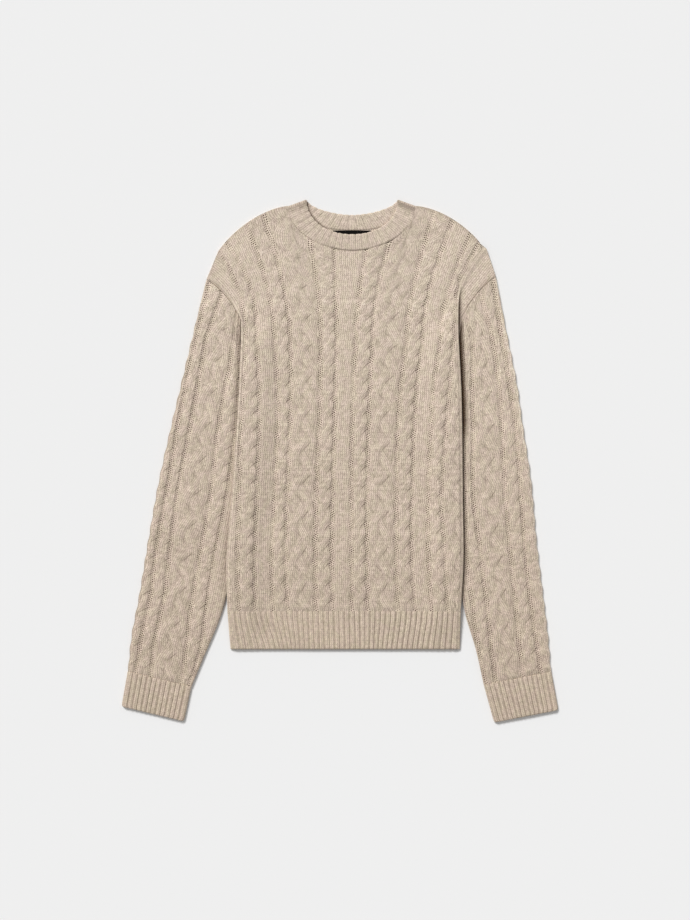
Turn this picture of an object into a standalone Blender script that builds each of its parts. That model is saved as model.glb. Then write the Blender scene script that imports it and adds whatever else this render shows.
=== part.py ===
"""Cable knit sweater, laid flat on its back: a Blender script that builds its knitted pieces.

Sizes below are millimetres. X runs across the body, Y from the hem to the neck, Z up from the
surface that the sweater lies on. The origin is the middle of the laid outline, on that surface.
Left and right are as seen from the front. The body is folded narrow: its sides are turned under
and lie over the inner edges of the sleeves.
"""

import math
from typing import NamedTuple

import bmesh
import bpy

MM = 0.001
COLLECTION = "cable_knit_sweater"

# Cloth
WALL = 2.4
FRONT_WALL = 2.5
SEAM_GAP = 0.3
HOLLOW = 0.8
OVER_SLEEVE = 6.0
FRONT_INSIDE = WALL + SEAM_GAP
FRONT_PLAIN = FRONT_INSIDE + FRONT_WALL
SLEEVE_PLAIN = WALL + HOLLOW + WALL

# Colours
FRONT_COLOUR = (0.56, 0.47, 0.38)
SLEEVE_COLOUR = (0.55, 0.46, 0.37)
RIB_COLOUR = (0.52, 0.43, 0.33)
LABEL_COLOUR = (0.01, 0.01, 0.01)

# Knitted relief: how far each zone stands out, and its strands' swing, radius and heights as
# shares of half the zone's width and of that rise
ROPE_RISE, BRAID_RISE, PLAIN_RISE = 2.6, 2.7, 0.9
PURL_DEPTH = 0.4
PURL_WIDTH = 3.4
ROPE_SWING, ROPE_RADIUS, ROPE_BED = 0.43, 0.60, 0.40
ROPE_TOP, ROPE_LEAD = 0.77, 0.23
BRAID_SWING, BRAID_RADIUS, BRAID_BED = 0.58, 0.42, 0.36
BRAID_TOP, BRAID_LEAD = 0.76, 0.24
# Crossings from one mark to the next, and how far past a mark its crossing lies, in crossings
ROPES_A_MARK, BRAIDS_A_MARK = 5, 3
ROPE_PAST_MARK, BRAID_PAST_MARK = 0.22, 0.05
# How much of a zone shows where an edge or a pleat cuts it off
EDGE_ROPE_SHARE, BRAID_CUT_SHARE = 0.64, 0.62
ROW_STEP = 8.7
SLEEVE_ROW_STEP = 10.0
UPPER_ROWS = 20
PLAIN_STEP = 102.0
HEM_RIB_PITCH = 8.0
CUFF_RIB_PITCH = 7.4
RIB_RISE = 1.1

# Heights of the body's sections, from the hem seam to where the top starts to fan out
HEM, HIP, WAIST, BUST, CHEST = -226.2, -149.0, -59.0, 91.0, 181.0
HEM_EDGE = -283.0
UNDERARM = 211.0
SLEEVE_TUCK_START = 174.0
SLEEVE_TUCK_END = -213.0

# How the front rolls over at its top edge: where it starts, and the wall left there and at the end
TOP_RIM_SHARE, TOP_RIM_INNER, TOP_RIM_OUTER = 0.988, 0.8, 0.2

# Neck and shoulders
NECK_MIDDLE = 18.0
NECK_HALF_WIDTH = 96.0
NECK_CORNER_Y = 382.0
FRONT_NECK_DROP = 66.0
BACK_NECK_DROP = 36.6
BAND_TIP_HALF_WIDTH = 68.3
BAND_TIP_Y = 392.0
BAND_FRONT_DROP = 52.6
BAND_BACK_DROP = 23.3
LABEL_WIDTH = 57.0
LABEL_HEIGHT = 12.0
LABEL_THICKNESS = 0.6


class Shoulder(NamedTuple):
    """One shoulder's outline: from its top at the neck to its end at the armhole seam."""

    side: int
    end_x: float
    end_y: float
    roundness: float
    seam_bend_x: float
    seam_bend_y: float
    underarm_x: float


LEFT_SHOULDER = Shoulder(-1, -200.4, 272.6, 1.58, -168.2, 253.0, -148.7)
RIGHT_SHOULDER = Shoulder(1, 233.5, 277.0, 1.62, 199.3, 253.0, 180.5)


class Line(NamedTuple):
    """A purl line or an edge of the front: where it runs at each height and meets the top.

    zone is what lies to its right. top counts along the top outline: 0 to 1 up the left
    shoulder, 1 to 2 round the neck seam and 2 to 3 down the right shoulder. fan is larger on a
    line that stays upright longer before it leans out to the shoulder. marks are lengths from
    the hem at which the zone's cable crosses: every fifth crossing of a rope, every third of a
    braid.
    """

    name: str
    zone: str
    hem: float
    hip: float
    waist: float
    bust: float
    chest: float
    top: float
    fan: float = 2.0
    marks: tuple = ()


BRAID_MARKS = (35, 197, 349, 490)
BODY_LINES = [
    Line("side_left", "plain_cut", -168.8, -170.3, -162.9, -152.6, -148.7, 0.0),
    Line("purl_1", "rope", -151.7, -153.9, -152.1, -147.6, -143.5, 0.306, 3.0, (10, 142, 274, 406, 530)),
    Line("purl_2", "plain", -127.7, -127.7, -124.7, -120.9, -124.7, 0.404, 3.0),
    Line("purl_3", "rope", -101.4, -103.4, -99.6, -93.9, -99.2, 0.597, 2.0, (15, 154, 292, 420, 548)),
    Line("purl_4", "braid", -78.9, -81.6, -79.7, -74.1, -75.2, 0.734, 2.0, BRAID_MARKS),
    Line("purl_5", "rope", -36.6, -37.7, -35.9, -30.2, -29.1, 1.272, 2.0, (11, 156, 296, 424, 537)),
    Line("purl_6", "plain", -11.4, -12.6, -11.4, -7.7, -5.4, 1.403),
    Line("purl_7", "rope", 16.7, 16.7, 16.7, 18.6, 23.1, 1.576, 2.0, (15, 159, 298, 422, 532)),
    Line("purl_8", "braid", 41.1, 40.4, 40.4, 43.7, 48.6, 1.697, 2.0, BRAID_MARKS),
    Line("purl_9", "rope", 86.1, 84.2, 84.2, 88.7, 99.2, 2.202, 2.0, (16, 155, 289, 412, 540)),
    Line("purl_10", "plain", 112.4, 107.9, 107.9, 113.4, 123.6, 2.361),
    Line("purl_11", "rope", 135.9, 131.9, 131.1, 137.9, 149.1, 2.53, 2.0, (16, 148, 278, 399, 530)),
    Line("purl_12", "braid_cut", 160.4, 157.4, 151.7, 161.9, 170.1, 2.64, 2.0, BRAID_MARKS),
    Line("side_right", "side", 180.8, 184.8, 183.9, 182.2, 178.0, 2.69),
]

# Where the raised columns of each zone lie, as shares of its width
ZONE_COLUMNS = {
    "rope": (0.2, 0.5, 0.8),
    "plain": (0.15, 0.85),
    "braid": (0.12, 0.3, 0.5, 0.7, 0.88),
    "braid_cut": (0.3, 0.7),
    "plain_cut": (0.6,),
}
# The columns of a plain inside: shares of the zone to the right of each line
INSIDE_COLUMNS = {
    "purl_1": (0.0, 0.5),
    "purl_2": (0.0, 0.5),
    "purl_3": (0.0, 0.5),
    "purl_4": (0.0, 0.3, 0.5, 0.7, 0.88),
    "purl_5": (0.0,),
    "purl_6": (0.0, 0.15, 0.85),
    "purl_7": (0.0,),
    "purl_8": (0.0, 0.12, 0.3, 0.5, 0.7),
    "purl_9": (0.0, 0.5),
    "purl_10": (0.0, 0.5),
    "purl_11": (0.0, 0.5),
    "purl_12": (0.0, 0.5),
}


class Nose(NamedTuple):
    """A point round the body's turned-under side: how far in and up it lies, folded and open."""

    folded_in: float
    folded_up: float
    open_in: float
    open_up: float


SIDE_NOSE = [
    Nose(3.4, 5.2, 3.2, 5.2),
    Nose(0.9, 4.3, 1.4, 5.1),
    Nose(0.0, 2.5, 0.3, 4.6),
    Nose(1.4, 0.5, 0.05, 3.8),
    Nose(4.8, 0.1, 0.0, 2.9),
]
SIDE_INSET = 6.3
PLEAT_INSET = 7.2
FOOT_INSET = 5.7
PLEAT_FLAT_STEP = 1.5
LEAST_COLUMN = 1.5
WEDGE_COLUMNS = 3
WEDGE_ROLL = 1.6
WEDGE_NEAR = 5.0
WEDGE_DIP = 0.8
WEDGE_LEAST_WALL = 0.2
PLEAT_TOP = 270.3
PLEAT_WIDTH = 26.0
PLEAT_KNOTS = (0.0, 0.2, 0.45, 0.64, 0.83, 1.0)
PLEAT_PATH = [(178.0, 181.0), (177.6, 211.0), (178.9, 244.8), (184.8, 270.3), (200.5, 296.5), (216.6, 318.1)]
# How far purl_12 lies from the pleat's edge: at both ends, at the middle, and up at the shoulder
PLEAT_MARGIN_ENDS, PLEAT_MARGIN_MIDDLE, PLEAT_MARGIN_RISE = 7.5, 4.4, 9.8

# Hem ribs: their sides at the hem's edge, and the rows and insets of their plain faces
HEM_LEFT, HEM_RIGHT = -164.4, 179.7
HEM_ROWS = (HEM - SEAM_GAP / 2, -245.0, -264.0, HEM_EDGE)
HEM_RIB_ROWS = (HEM - SEAM_GAP / 2, HEM - 5.0, HEM_EDGE + 1.5, HEM_EDGE)
HEM_RIB_RIMS = (0.85, 1.0, 0.95, 0.5)
HEM_INSETS = (PLEAT_INSET, 30.0, 38.0, 46.0, 54.0, 62.0, 120.0)
CUFF_ROWS = (0.0, 0.08, 0.97, 1.0)
CUFF_RIMS = (0.85, 1.0, 0.95, 0.5)
SLEEVE_TOP_LENGTH = 80.0
SLEEVE_TOP_ROWS = 7
SLEEVE_PLAIN_STEP = 64.0
SLEEVE_PLAIN_TOP_ROWS = 2
SEAM_REACH = 0.992


class Section(NamedTuple):
    """A section across a sleeve: its height above the cuff seam and, counted from the sleeve's
    middle towards the body, its outer edge, its four purl lines and its inner edge."""

    height: float
    outer: float
    purl_1: float
    purl_2: float
    purl_3: float
    purl_4: float
    inner: float


class Sleeve(NamedTuple):
    """A sleeve: its middle at the cuff seam, its lean, its cuff's far end, its sections and the
    marks of its zones, as on the body but counted from the cuff seam."""

    name: str
    side: int
    cuff_x: float
    cuff_y: float
    lean: float
    cuff_length: float
    cuff_outer: float
    cuff_inner: float
    shoulder: Shoulder
    sections: list
    marks: list


SLEEVES = [
    Sleeve("left", -1, -271.2, -328.2, 13.5, 52.5, -45.9, 50.6, LEFT_SHOULDER, [
        Section(0, -49.2, -36.5, -13.5, 33.0, 45.5, 49.2),
        Section(54, -56.5, -40.5, -20.0, 28.5, 49.5, 58.0),
        Section(116, -59.5, -41.8, -21.4, 21.5, 44.0, 67.4),
        Section(198, -65.5, -50.5, -30.5, 15.5, 37.5, 68.3),
        Section(287, -70.8, -55.5, -39.0, 10.5, 34.4, 63.5),
        Section(377, -72.3, -62.0, -43.5, -1.0, 26.0, 50.0),
        Section(435, -72.3, -64.5, -46.5, -5.0, 17.5, 30.5),
        Section(480, -72.5, -65.5, -49.5, -7.0, 9.5, 13.0),
        Section(516, -72.5, -66.0, -51.0, -9.5, -1.5, 1.2),
    ], [
        (16, 148, 281, 422, 563), (16, 148, 281, 422, 563), (36, 186, 334, 488), (12, 148, 286, 413, 540), (),
    ]),
    Sleeve("right", 1, 266.3, -326.9, 11.0, 58.0, -51.2, 47.2, RIGHT_SHOULDER, [
        Section(0, -51.7, -36.0, -8.5, 33.5, 48.0, 51.7),
        Section(54, -57.5, -38.2, -12.4, 30.3, 49.5, 53.2),
        Section(116, -62.0, -41.0, -18.5, 24.8, 46.5, 58.8),
        Section(198, -68.0, -49.0, -26.0, 19.0, 40.0, 55.0),
        Section(287, -77.0, -59.0, -35.5, 12.5, 26.0, 46.0),
        Section(377, -81.0, -69.0, -49.0, -5.0, 10.0, 28.5),
        Section(435, -84.0, -71.5, -55.5, -14.5, -2.0, 11.0),
        Section(474, -84.0, -73.0, -58.0, -23.0, -8.0, 1.5),
        Section(508, -83.5, -73.5, -60.0, -30.0, -15.5, -9.0),
    ], [
        (10, 133, 262, 402, 542), (10, 133, 262, 402, 542), (29, 177, 325, 471), (-4, 123, 256, 386, 524), (),
    ]),
]
# Where a sleeve's edges and purl lines meet the armhole seam, from shoulder to underarm
SEAM_SHARES = (0.0, 0.08, 0.4, 0.85, 0.94, 1.0)
SLEEVE_ZONES = ("edge_rope", "rope", "braid", "rope", "strip")
SLEEVE_ZONE_COLUMNS = {
    "edge_rope": (0.5,),
    "rope": (0.2, 0.5, 0.8),
    "braid": (0.12, 0.37, 0.63, 0.88),
    "strip": (),
}


class Round(NamedTuple):
    """A point round a sleeve's folded edge: how far in from the edge and up it lies."""

    inset: float
    up: float


SLEEVE_EDGE = (Round(0.4, 1.3), Round(0.0, 3.0), Round(1.2, 4.9))
# Purl lines and edges, by number, along which a sleeve's plain faces bend
PLAIN_BOUNDARIES = (0, 1, 2, 2.5, 3, 4, 5)
SLEEVE_FOOT_INSET = 1.6
HOLLOW_INSET = 3.2

# A neckband section: share of its height from the seam up, and from its inner face to its outer
BAND_SECTION = ((0.027, -1), (0.93, -1), (1.0, -0.4), (1.0, 0.4), (0.93, 1), (0.027, 1))
BAND_WALL = 2.5
BAND_BACK_MIDDLE = BAND_WALL / 2
BAND_FRONT_MIDDLE = 4.85
BAND_RIB_RISE = 0.58
BAND_FRONT_RIBS = 21
BAND_BACK_RIBS = 15
BAND_START = 9.0


def mix(a, b, share):
    return a + (b - a) * share


def ease(value, start, end):
    """0 before start, 1 after end and smooth between them; start may be the larger."""
    share = min(max((value - start) / (end - start), 0.0), 1.0)
    return share * share * (3.0 - 2.0 * share)


def smooth_through(knots, values, at):
    """A smooth curve through values at rising knots, read at one place."""
    last = len(knots) - 1
    at = min(max(at, knots[0]), knots[last])
    i = max(k for k in range(last) if knots[k] <= at)
    span = knots[i + 1] - knots[i]

    def slope(k):
        low, high = max(k - 1, 0), min(k + 1, last)
        return (values[high] - values[low]) / (knots[high] - knots[low])

    t = (at - knots[i]) / span
    leaving, arriving = slope(i) * span, slope(i + 1) * span
    rise = values[i + 1] - values[i]
    squared, cubed = 3 * rise - 2 * leaving - arriving, leaving + arriving - 2 * rise
    return values[i] + t * (leaving + t * (squared + t * cubed))


def round_corner(half_width, height, roundness, angle):
    """(across, up) on a quarter of a superellipse; angle 0 is its side and 90 degrees its top."""
    across = abs(math.cos(angle)) ** (2.0 / roundness) * half_width
    up = abs(math.sin(angle)) ** (2.0 / roundness) * height
    return across, up


def shoulder_point(shoulder, share):
    """A point on a shoulder's outline: share 0 is the armhole seam and 1 the neck corner."""
    corner_x = NECK_MIDDLE + shoulder.side * NECK_HALF_WIDTH
    half_width, height = abs(shoulder.end_x - corner_x), NECK_CORNER_Y - shoulder.end_y
    across, up = round_corner(half_width, height, shoulder.roundness, share * math.pi / 2)
    return corner_x + shoulder.side * across, shoulder.end_y + up


def neck_curve(half_width, corner_y, drop, roundness, angle):
    """A point on a neck curve: angle 0 is its left corner, 90 degrees its lowest point."""
    across, down = round_corner(half_width, drop, roundness, angle)
    return NECK_MIDDLE - math.copysign(across, math.cos(angle)), corner_y - down


def front_neck_seam(angle):
    return neck_curve(NECK_HALF_WIDTH, NECK_CORNER_Y, FRONT_NECK_DROP, 1.9, angle)


def back_neck_seam(angle):
    return neck_curve(NECK_HALF_WIDTH, NECK_CORNER_Y, BACK_NECK_DROP, 2.0, angle)


def top_outline(top, neck_seam):
    """A point on the panel's top outline, at the count that Line.top gives."""
    if top <= 1.0:
        return shoulder_point(LEFT_SHOULDER, top)
    if top < 2.0:
        return neck_seam((top - 1.0) * math.pi)
    return shoulder_point(RIGHT_SHOULDER, 3.0 - top)


def armhole_seam(shoulder, share):
    """A point on the armhole seam: share 0 is the shoulder's end and 1 the underarm."""
    a, b, c = (1 - share) ** 2, 2 * share * (1 - share), share**2
    return (
        a * shoulder.end_x + b * shoulder.seam_bend_x + c * shoulder.underarm_x,
        a * shoulder.end_y + b * shoulder.seam_bend_y + c * UNDERARM,
    )


def line_x(line, y):
    """Where a line runs at a height between the hem and the chest."""
    places = (line.hem, line.hip, line.waist, line.bust, line.chest)
    return smooth_through((HEM, HIP, WAIST, BUST, CHEST), places, y)


def lift(y):
    """How far the body's sides lie above the surface, over the sleeves."""
    return OVER_SLEEVE * ease(y, UNDERARM + 6, SLEEVE_TUCK_START) * ease(y, HEM_EDGE - 12, SLEEVE_TUCK_END)


def side_height(side, y):
    """How far the front's turned-under side stands above where it would lie flat."""
    start = PLEAT_TOP if side > 0 else UNDERARM + 30
    return OVER_SLEEVE * ease(y, start, UNDERARM) * ease(y, HEM_EDGE - 12, SLEEVE_TUCK_END)


def ramp(inset):
    """1 over the tucked sleeve and 0 where the body lies on the surface."""
    return 1.0 - ease(inset, 30.0, 62.0)


def fold(side, y):
    """1 where the body's side is turned under and 0 where it lies open at a seam."""
    return ease(y, UNDERARM - 8, SLEEVE_TUCK_START) if side < 0 else ease(y, PLEAT_TOP, UNDERARM + 26)


def undercut(side, y):
    """How far the wall's inside has drawn in from the body's side, 0 at a seam to 1 at a fold."""
    inset = SIDE_INSET if side < 0 else PLEAT_INSET
    return inset * ease(y, UNDERARM + 12, UNDERARM - 8)


def strand(offset, radius):
    """Height of a round strand at an offset from its middle, 1 at the middle."""
    return math.sqrt(max(1.0 - (offset / radius) ** 2, 0.0))


def crossings(marks, a_mark, length):
    """Crossings counted at a length along a zone, going on evenly beyond its marks."""
    i = min(max(sum(mark <= length for mark in marks) - 1, 0), len(marks) - 2)
    return a_mark * (i + (length - marks[i]) / (marks[i + 1] - marks[i]))


def rope(across, count):
    """Height, 0 to 1, of two strands that cross over each other, always up to the right."""
    turn = math.pi * (count - ROPE_PAST_MARK)
    swing = ROPE_SWING * math.tanh(1.5 * math.sin(turn)) / math.tanh(1.5)
    heights = [ROPE_BED]
    for way in (1, -1):
        lead = way * math.cos(turn)
        top = ROPE_TOP + ROPE_LEAD * math.copysign(abs(lead) ** 1.2, lead)
        heights.append(top * strand(across - way * swing, ROPE_RADIUS))
    return max(heights)


def braid(across, count):
    """Height, 0 to 1, of three strands, each passing over the next on its way in."""
    heights = [BRAID_BED]
    for number in range(3):
        turn = 2.0 * math.pi * ((count - BRAID_PAST_MARK + number) / 3.0 + 11.0 / 12.0)
        top = BRAID_TOP - BRAID_LEAD * math.sin(2.0 * turn)
        heights.append(top * strand(across - BRAID_SWING * math.sin(turn), BRAID_RADIUS))
    return max(heights)


def relief(zone, share, length, width, marks, mirrored=False):
    """How far a zone's knitting stands out, share 0 to 1 across it, on a zone this wide."""
    if zone in ("plain", "plain_cut", "strip"):
        return PLAIN_RISE
    if zone == "edge_rope":
        share, width = mix(1.0 - EDGE_ROPE_SHARE, 1.0, share), width / EDGE_ROPE_SHARE
    elif zone == "braid_cut":
        share, width = share * BRAID_CUT_SHARE, width / BRAID_CUT_SHARE
    if mirrored:
        share = 1.0 - share
    room = min(max(width / 20.0 - 0.25, 0.0), 1.0)
    across = (share - 0.5) * 2.0 * width / max(width - PURL_WIDTH, 1.0)
    if zone in ("rope", "edge_rope"):
        return room * ROPE_RISE * rope(across, crossings(marks, ROPES_A_MARK, length))
    return room * BRAID_RISE * braid(across, crossings(marks, BRAIDS_A_MARK, length))


def in_metres(place):
    return tuple(value * MM for value in place)


def add_grid(bm, points):
    """A grid of quads through rows of points; returns its vertices in the same rows."""
    rows, columns = len(points), len(points[0])
    made = bmesh.ops.create_grid(bm, x_segments=columns - 1, y_segments=rows - 1, size=1.0)["verts"]
    made.sort(key=lambda vert: (round(vert.co.y, 5), round(vert.co.x, 5)))
    grid = [made[row * columns : (row + 1) * columns] for row in range(rows)]
    for verts, places in zip(grid, points):
        for vert, place in zip(verts, places):
            vert.co = in_metres(place)
    return grid


def sew(bm, first, second):
    """Triangles between two chains of vertices that may have unlike counts."""
    i, j = 0, 0
    while i + 1 < len(first) or j + 1 < len(second):
        across_first = (first[i + 1].co - second[j].co).length if i + 1 < len(first) else math.inf
        across_second = (second[j + 1].co - first[i].co).length if j + 1 < len(second) else math.inf
        if across_first <= across_second:
            bm.faces.new((first[i], first[i + 1], second[j]))
            i += 1
        else:
            bm.faces.new((first[i], second[j + 1], second[j]))
            j += 1


def column(grid, index):
    return [row[index] for row in grid]


def finish(bm, name, material):
    """Turns a closed bmesh into a named object of the sweater."""
    bmesh.ops.recalc_face_normals(bm, faces=bm.faces)
    if bm.calc_volume(signed=True) < 0.0:
        bmesh.ops.reverse_faces(bm, faces=bm.faces)
    mesh = bpy.data.meshes.new(name)
    bm.to_mesh(mesh)
    bm.free()
    mesh.shade_smooth()
    mesh.set_sharp_from_angle(angle=math.radians(60))
    mesh.materials.append(material)
    obj = bpy.data.objects.new(name, mesh)
    bpy.data.collections[COLLECTION].objects.link(obj)
    return obj


def build_wall(name, outer, inner, material):
    """A panel's wall: a raised outer grid over a plain inner one, closed round its four edges."""
    bm = bmesh.new()
    out, inside = add_grid(bm, outer), add_grid(bm, inner)
    sew(bm, out[0], inside[0])
    sew(bm, out[-1], inside[-1])
    sew(bm, column(out, 0), column(inside, 0))
    sew(bm, column(out, -1), column(inside, -1))
    return finish(bm, name, material)


def build_tube(name, top, foot, hollow_top, hollow_foot, material):
    """A flattened tube: a raised top and a flat foot round a thin hollow, open at both ends."""
    bm = bmesh.new()
    top, foot = add_grid(bm, top), add_grid(bm, foot)
    hollow_top, hollow_foot = add_grid(bm, hollow_top), add_grid(bm, hollow_foot)
    for edge in (0, -1):
        sew(bm, column(top, edge), column(foot, edge))
        sew(bm, column(hollow_top, edge), column(hollow_foot, edge))
        sew(bm, top[edge], hollow_top[edge])
        sew(bm, foot[edge], hollow_foot[edge])
        for side in (0, -1):
            ends = (top[edge][side], foot[edge][side], hollow_foot[edge][side], hollow_top[edge][side])
            bm.faces.new(ends)
    return finish(bm, name, material)


def body_place(line, row, neck_seam=front_neck_seam):
    """(x, y) of a line at a row: rows are heights up to the chest, then shares of the way up."""
    height, share = row
    if share <= 0.0:
        return line_x(line, height), height
    if line.name == "side_left":
        return seam_edge(LEFT_SHOULDER, 0.3, share)
    if line.name == "side_right":
        return pleat_path(share)
    if line.name == "purl_12":
        x, y = pleat_path(share)
        away = mix(PLEAT_MARGIN_ENDS, PLEAT_MARGIN_MIDDLE, math.sin(math.pi * share))
        return x - away, y + PLEAT_MARGIN_RISE * share**3
    top_x, top_y = top_outline(line.top, neck_seam)
    a, b, c = (1 - share) ** 2, 2 * share * (1 - share), share**2
    return mix(line.chest, top_x, share**line.fan), a * CHEST + b * mix(CHEST, top_y, 0.38) + c * top_y


def seam_edge(shoulder, straight, share):
    """The body's edge above the chest: straight up to the underarm, then along the armhole."""
    if share < straight:
        return shoulder.underarm_x, mix(CHEST, UNDERARM, share / straight)
    return armhole_seam(shoulder, 1.0 - (share - straight) / (1.0 - straight))


def wedge_edge(share):
    """The right edge of the wedge between the pleat and the armhole seam."""
    return seam_edge(RIGHT_SHOULDER, PLEAT_KNOTS[1], share)


def pleat_path(share):
    """The pleat's edge from the chest up, and its line on to the shoulder."""
    x = smooth_through(PLEAT_KNOTS, [place[0] for place in PLEAT_PATH], share)
    y = smooth_through(PLEAT_KNOTS, [place[1] for place in PLEAT_PATH], share)
    return x, y


def body_rows(step, upper_count, rim):
    """Rows of the body: heights with share 0, then shares of the way from chest to top."""
    count = round((CHEST - HEM) / step)
    rows = [(mix(HEM + SEAM_GAP / 2, CHEST, i / count), 0.0) for i in range(count + 1)]
    rows += [(CHEST, i / upper_count) for i in range(1, upper_count)]
    return rows + ([(CHEST, TOP_RIM_SHARE), (CHEST, 1.0)] if rim else [(CHEST, 1.0)])


def top_rim(share):
    """How much of its thickness the front keeps as it rolls over at the top outline."""
    if share < TOP_RIM_SHARE:
        return 1.0
    return TOP_RIM_INNER if share < 1.0 else TOP_RIM_OUTER


def base_height(x, y, left, right):
    """Height of the back's underside: the body's sides lie on the sleeves."""
    return lift(y) * max(ramp(x - left), ramp(right - x))


def front_height(x, y, left, right):
    """(inside, plain outside) heights of the front at a point between its sides."""
    base = base_height(x, y, left, right)
    raised_left = (side_height(-1, y) - lift(y)) * (1 - ease(x - left, 0, PLEAT_WIDTH))
    raised_right = (side_height(1, y) - lift(y)) * (1 - ease(right - x, 0, PLEAT_WIDTH))
    return base + FRONT_INSIDE, base + FRONT_PLAIN + max(raised_left + raised_right, 0.0)


def nose_points(side, edge, share):
    """Points round the body's side at a row, from the front's face to its foot."""
    edge_x, y = edge
    folded = fold(side, y)
    top = side_height(side, y) + FRONT_PLAIN
    seated = lift(y) + SEAM_GAP / 3
    foot = seated if side < 0 else max(seated, FRONT_PLAIN + SEAM_GAP / 3)
    rim = top_rim(share)
    points = []
    for number, nose in enumerate(SIDE_NOSE):
        flat = (number - 2) * PLEAT_FLAT_STEP if side > 0 and share > 0.0 else -nose.open_in
        inset = mix(-flat, nose.folded_in, folded)
        open_up = FRONT_PLAIN if side > 0 else side_height(side, y) + nose.open_up
        up = mix(open_up, mix(foot, top, nose.folded_up / FRONT_PLAIN), folded)
        points.append((edge_x - side * inset, y, mix(FRONT_INSIDE, up, rim)))
    return points


def wedge_points(crease, edge, share):
    """Points from the pleat's crease to the right armhole seam; below it they turn under."""
    gone = ease(edge[1], UNDERARM - 6, UNDERARM - 24)
    seam_x, seam_y = wedge_edge(share)
    end_x = mix(seam_x, edge[0] - FOOT_INSET, gone)
    end_y = mix(seam_y, edge[1], gone)
    near = max(1.0 - abs(end_x - crease[0]) / WEDGE_NEAR, 0.0) * (1 - gone)
    points = []
    for number in range(1, WEDGE_COLUMNS + 1):
        part = number / WEDGE_COLUMNS
        last_roll = WEDGE_ROLL * (1 - gone) if number == WEDGE_COLUMNS else 0.0
        up = max(crease[2] - last_roll - near * part * WEDGE_DIP, FRONT_INSIDE + WEDGE_LEAST_WALL)
        points.append((mix(crease[0], end_x, part), mix(crease[1], end_y, part), up))
    return points


def column_top(number, part):
    """Where a column meets the top outline; the middles of both braids meet the neck's corners."""
    line, following = BODY_LINES[number], BODY_LINES[number + 1]
    if line.zone != "braid":
        return mix(line.top, following.top, part)
    corner = round(line.top + 0.3)
    away = abs(2.0 * part - 1.0) ** 1.25
    return mix(corner, line.top if part < 0.5 else following.top, away)


def between(number, part, share, places, neck_seam):
    """A point between a line and the next; towards the top it bends to meet the top outline."""
    start, end = places[number], places[number + 1]
    x, y = mix(start[0], end[0], part), mix(start[1], end[1], part)
    line, following = BODY_LINES[number], BODY_LINES[number + 1]
    if share <= 0.0 or line.zone in ("plain_cut", "braid_cut"):
        return x, y
    first, last = top_outline(line.top, neck_seam), top_outline(following.top, neck_seam)
    met = top_outline(column_top(number, part), neck_seam)
    straight = mix(first[0], last[0], part), mix(first[1], last[1], part)
    bend = share**3
    return x + bend * (met[0] - straight[0]), y + bend * (met[1] - straight[1])


def front_outer_row(row):
    """One row of the front's raised outer points, from its left foot to its right one."""
    share = row[1]
    rim = top_rim(share)
    places = [body_place(line, row) for line in BODY_LINES]
    left, right = places[0], places[-1]
    points = list(reversed(nose_points(-1, left, share)))
    nose_width = SIDE_NOSE[0].folded_in
    places[0] = (left[0] + nose_width, left[1])
    places[1] = (max(places[1][0], places[0][0] + LEAST_COLUMN), places[1][1])
    places[-1] = (right[0] - nose_width, right[1])
    for number, line in enumerate(BODY_LINES[:-1]):
        width = places[number + 1][0] - places[number][0]
        for part in ((0.0,) if number else ()) + ZONE_COLUMNS[line.zone]:
            place = between(number, part, share, places, front_neck_seam)
            inside, plain = front_height(*place, left[0], right[0])
            length = place[1] - HEM
            rise = relief(line.zone, part, length, width, line.marks) if part > 0.0 else -PURL_DEPTH
            points.append((*place, mix(inside, plain + rise, rim)))
    nose = nose_points(1, right, share)
    return points + nose + wedge_points(nose[-1], right, share)


def plain_rows(gap, neck_seam, height_of):
    """Coarse rows of the body between its seams; height_of gives each point's height."""
    rows = []
    for row in body_rows(PLAIN_STEP, UPPER_ROWS // 2, rim=False):
        places = [body_place(line, row, neck_seam) for line in BODY_LINES]
        left, right = places[0], places[-1]
        sides = left[0], right[0]
        drawn_in = undercut(-1, left[1])
        places[0] = left[0] + drawn_in + (gap if drawn_in else 0.0), left[1]
        seam_x, seam_y = wedge_edge(row[1])
        gone = undercut(1, right[1]) / PLEAT_INSET
        end_x = mix(seam_x, right[0] - PLEAT_INSET, gone) - (gap if gone else 0.0)
        places[-1] = end_x, mix(seam_y, right[1], gone)
        places[1] = max(places[1][0], places[0][0] + LEAST_COLUMN), places[1][1]
        places[-2] = min(places[-2][0], places[-1][0] - 2 * LEAST_COLUMN), places[-2][1]
        ends = [places[0]]
        for number in range(1, len(BODY_LINES) - 1):
            for part in INSIDE_COLUMNS[BODY_LINES[number].name]:
                ends.append(between(number, part, row[1], places, neck_seam))
        ends.append(places[-1])
        rows.append([(*place, height_of(*place, *sides)) for place in ends])
    return rows


def build_front():
    outer = [front_outer_row(row) for row in body_rows(ROW_STEP, UPPER_ROWS, rim=True)]
    inner = plain_rows(0.0, front_neck_seam, lambda *place: front_height(*place)[0])
    return build_wall("front_panel", outer, inner, knit("front_knit", FRONT_COLOUR))


def build_back():
    outer = plain_rows(SEAM_GAP, back_neck_seam, lambda *place: base_height(*place) + WALL)
    inner = plain_rows(SEAM_GAP, back_neck_seam, base_height)
    return build_wall("back_panel", outer, inner, knit("back_knit", FRONT_COLOUR))


def hem_sides(y):
    """The hem rib's left and right edges at a height."""
    down = (HEM - y) / (HEM - HEM_EDGE)
    return mix(BODY_LINES[0].hem, HEM_LEFT, down), mix(BODY_LINES[-1].hem, HEM_RIGHT, down)


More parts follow.
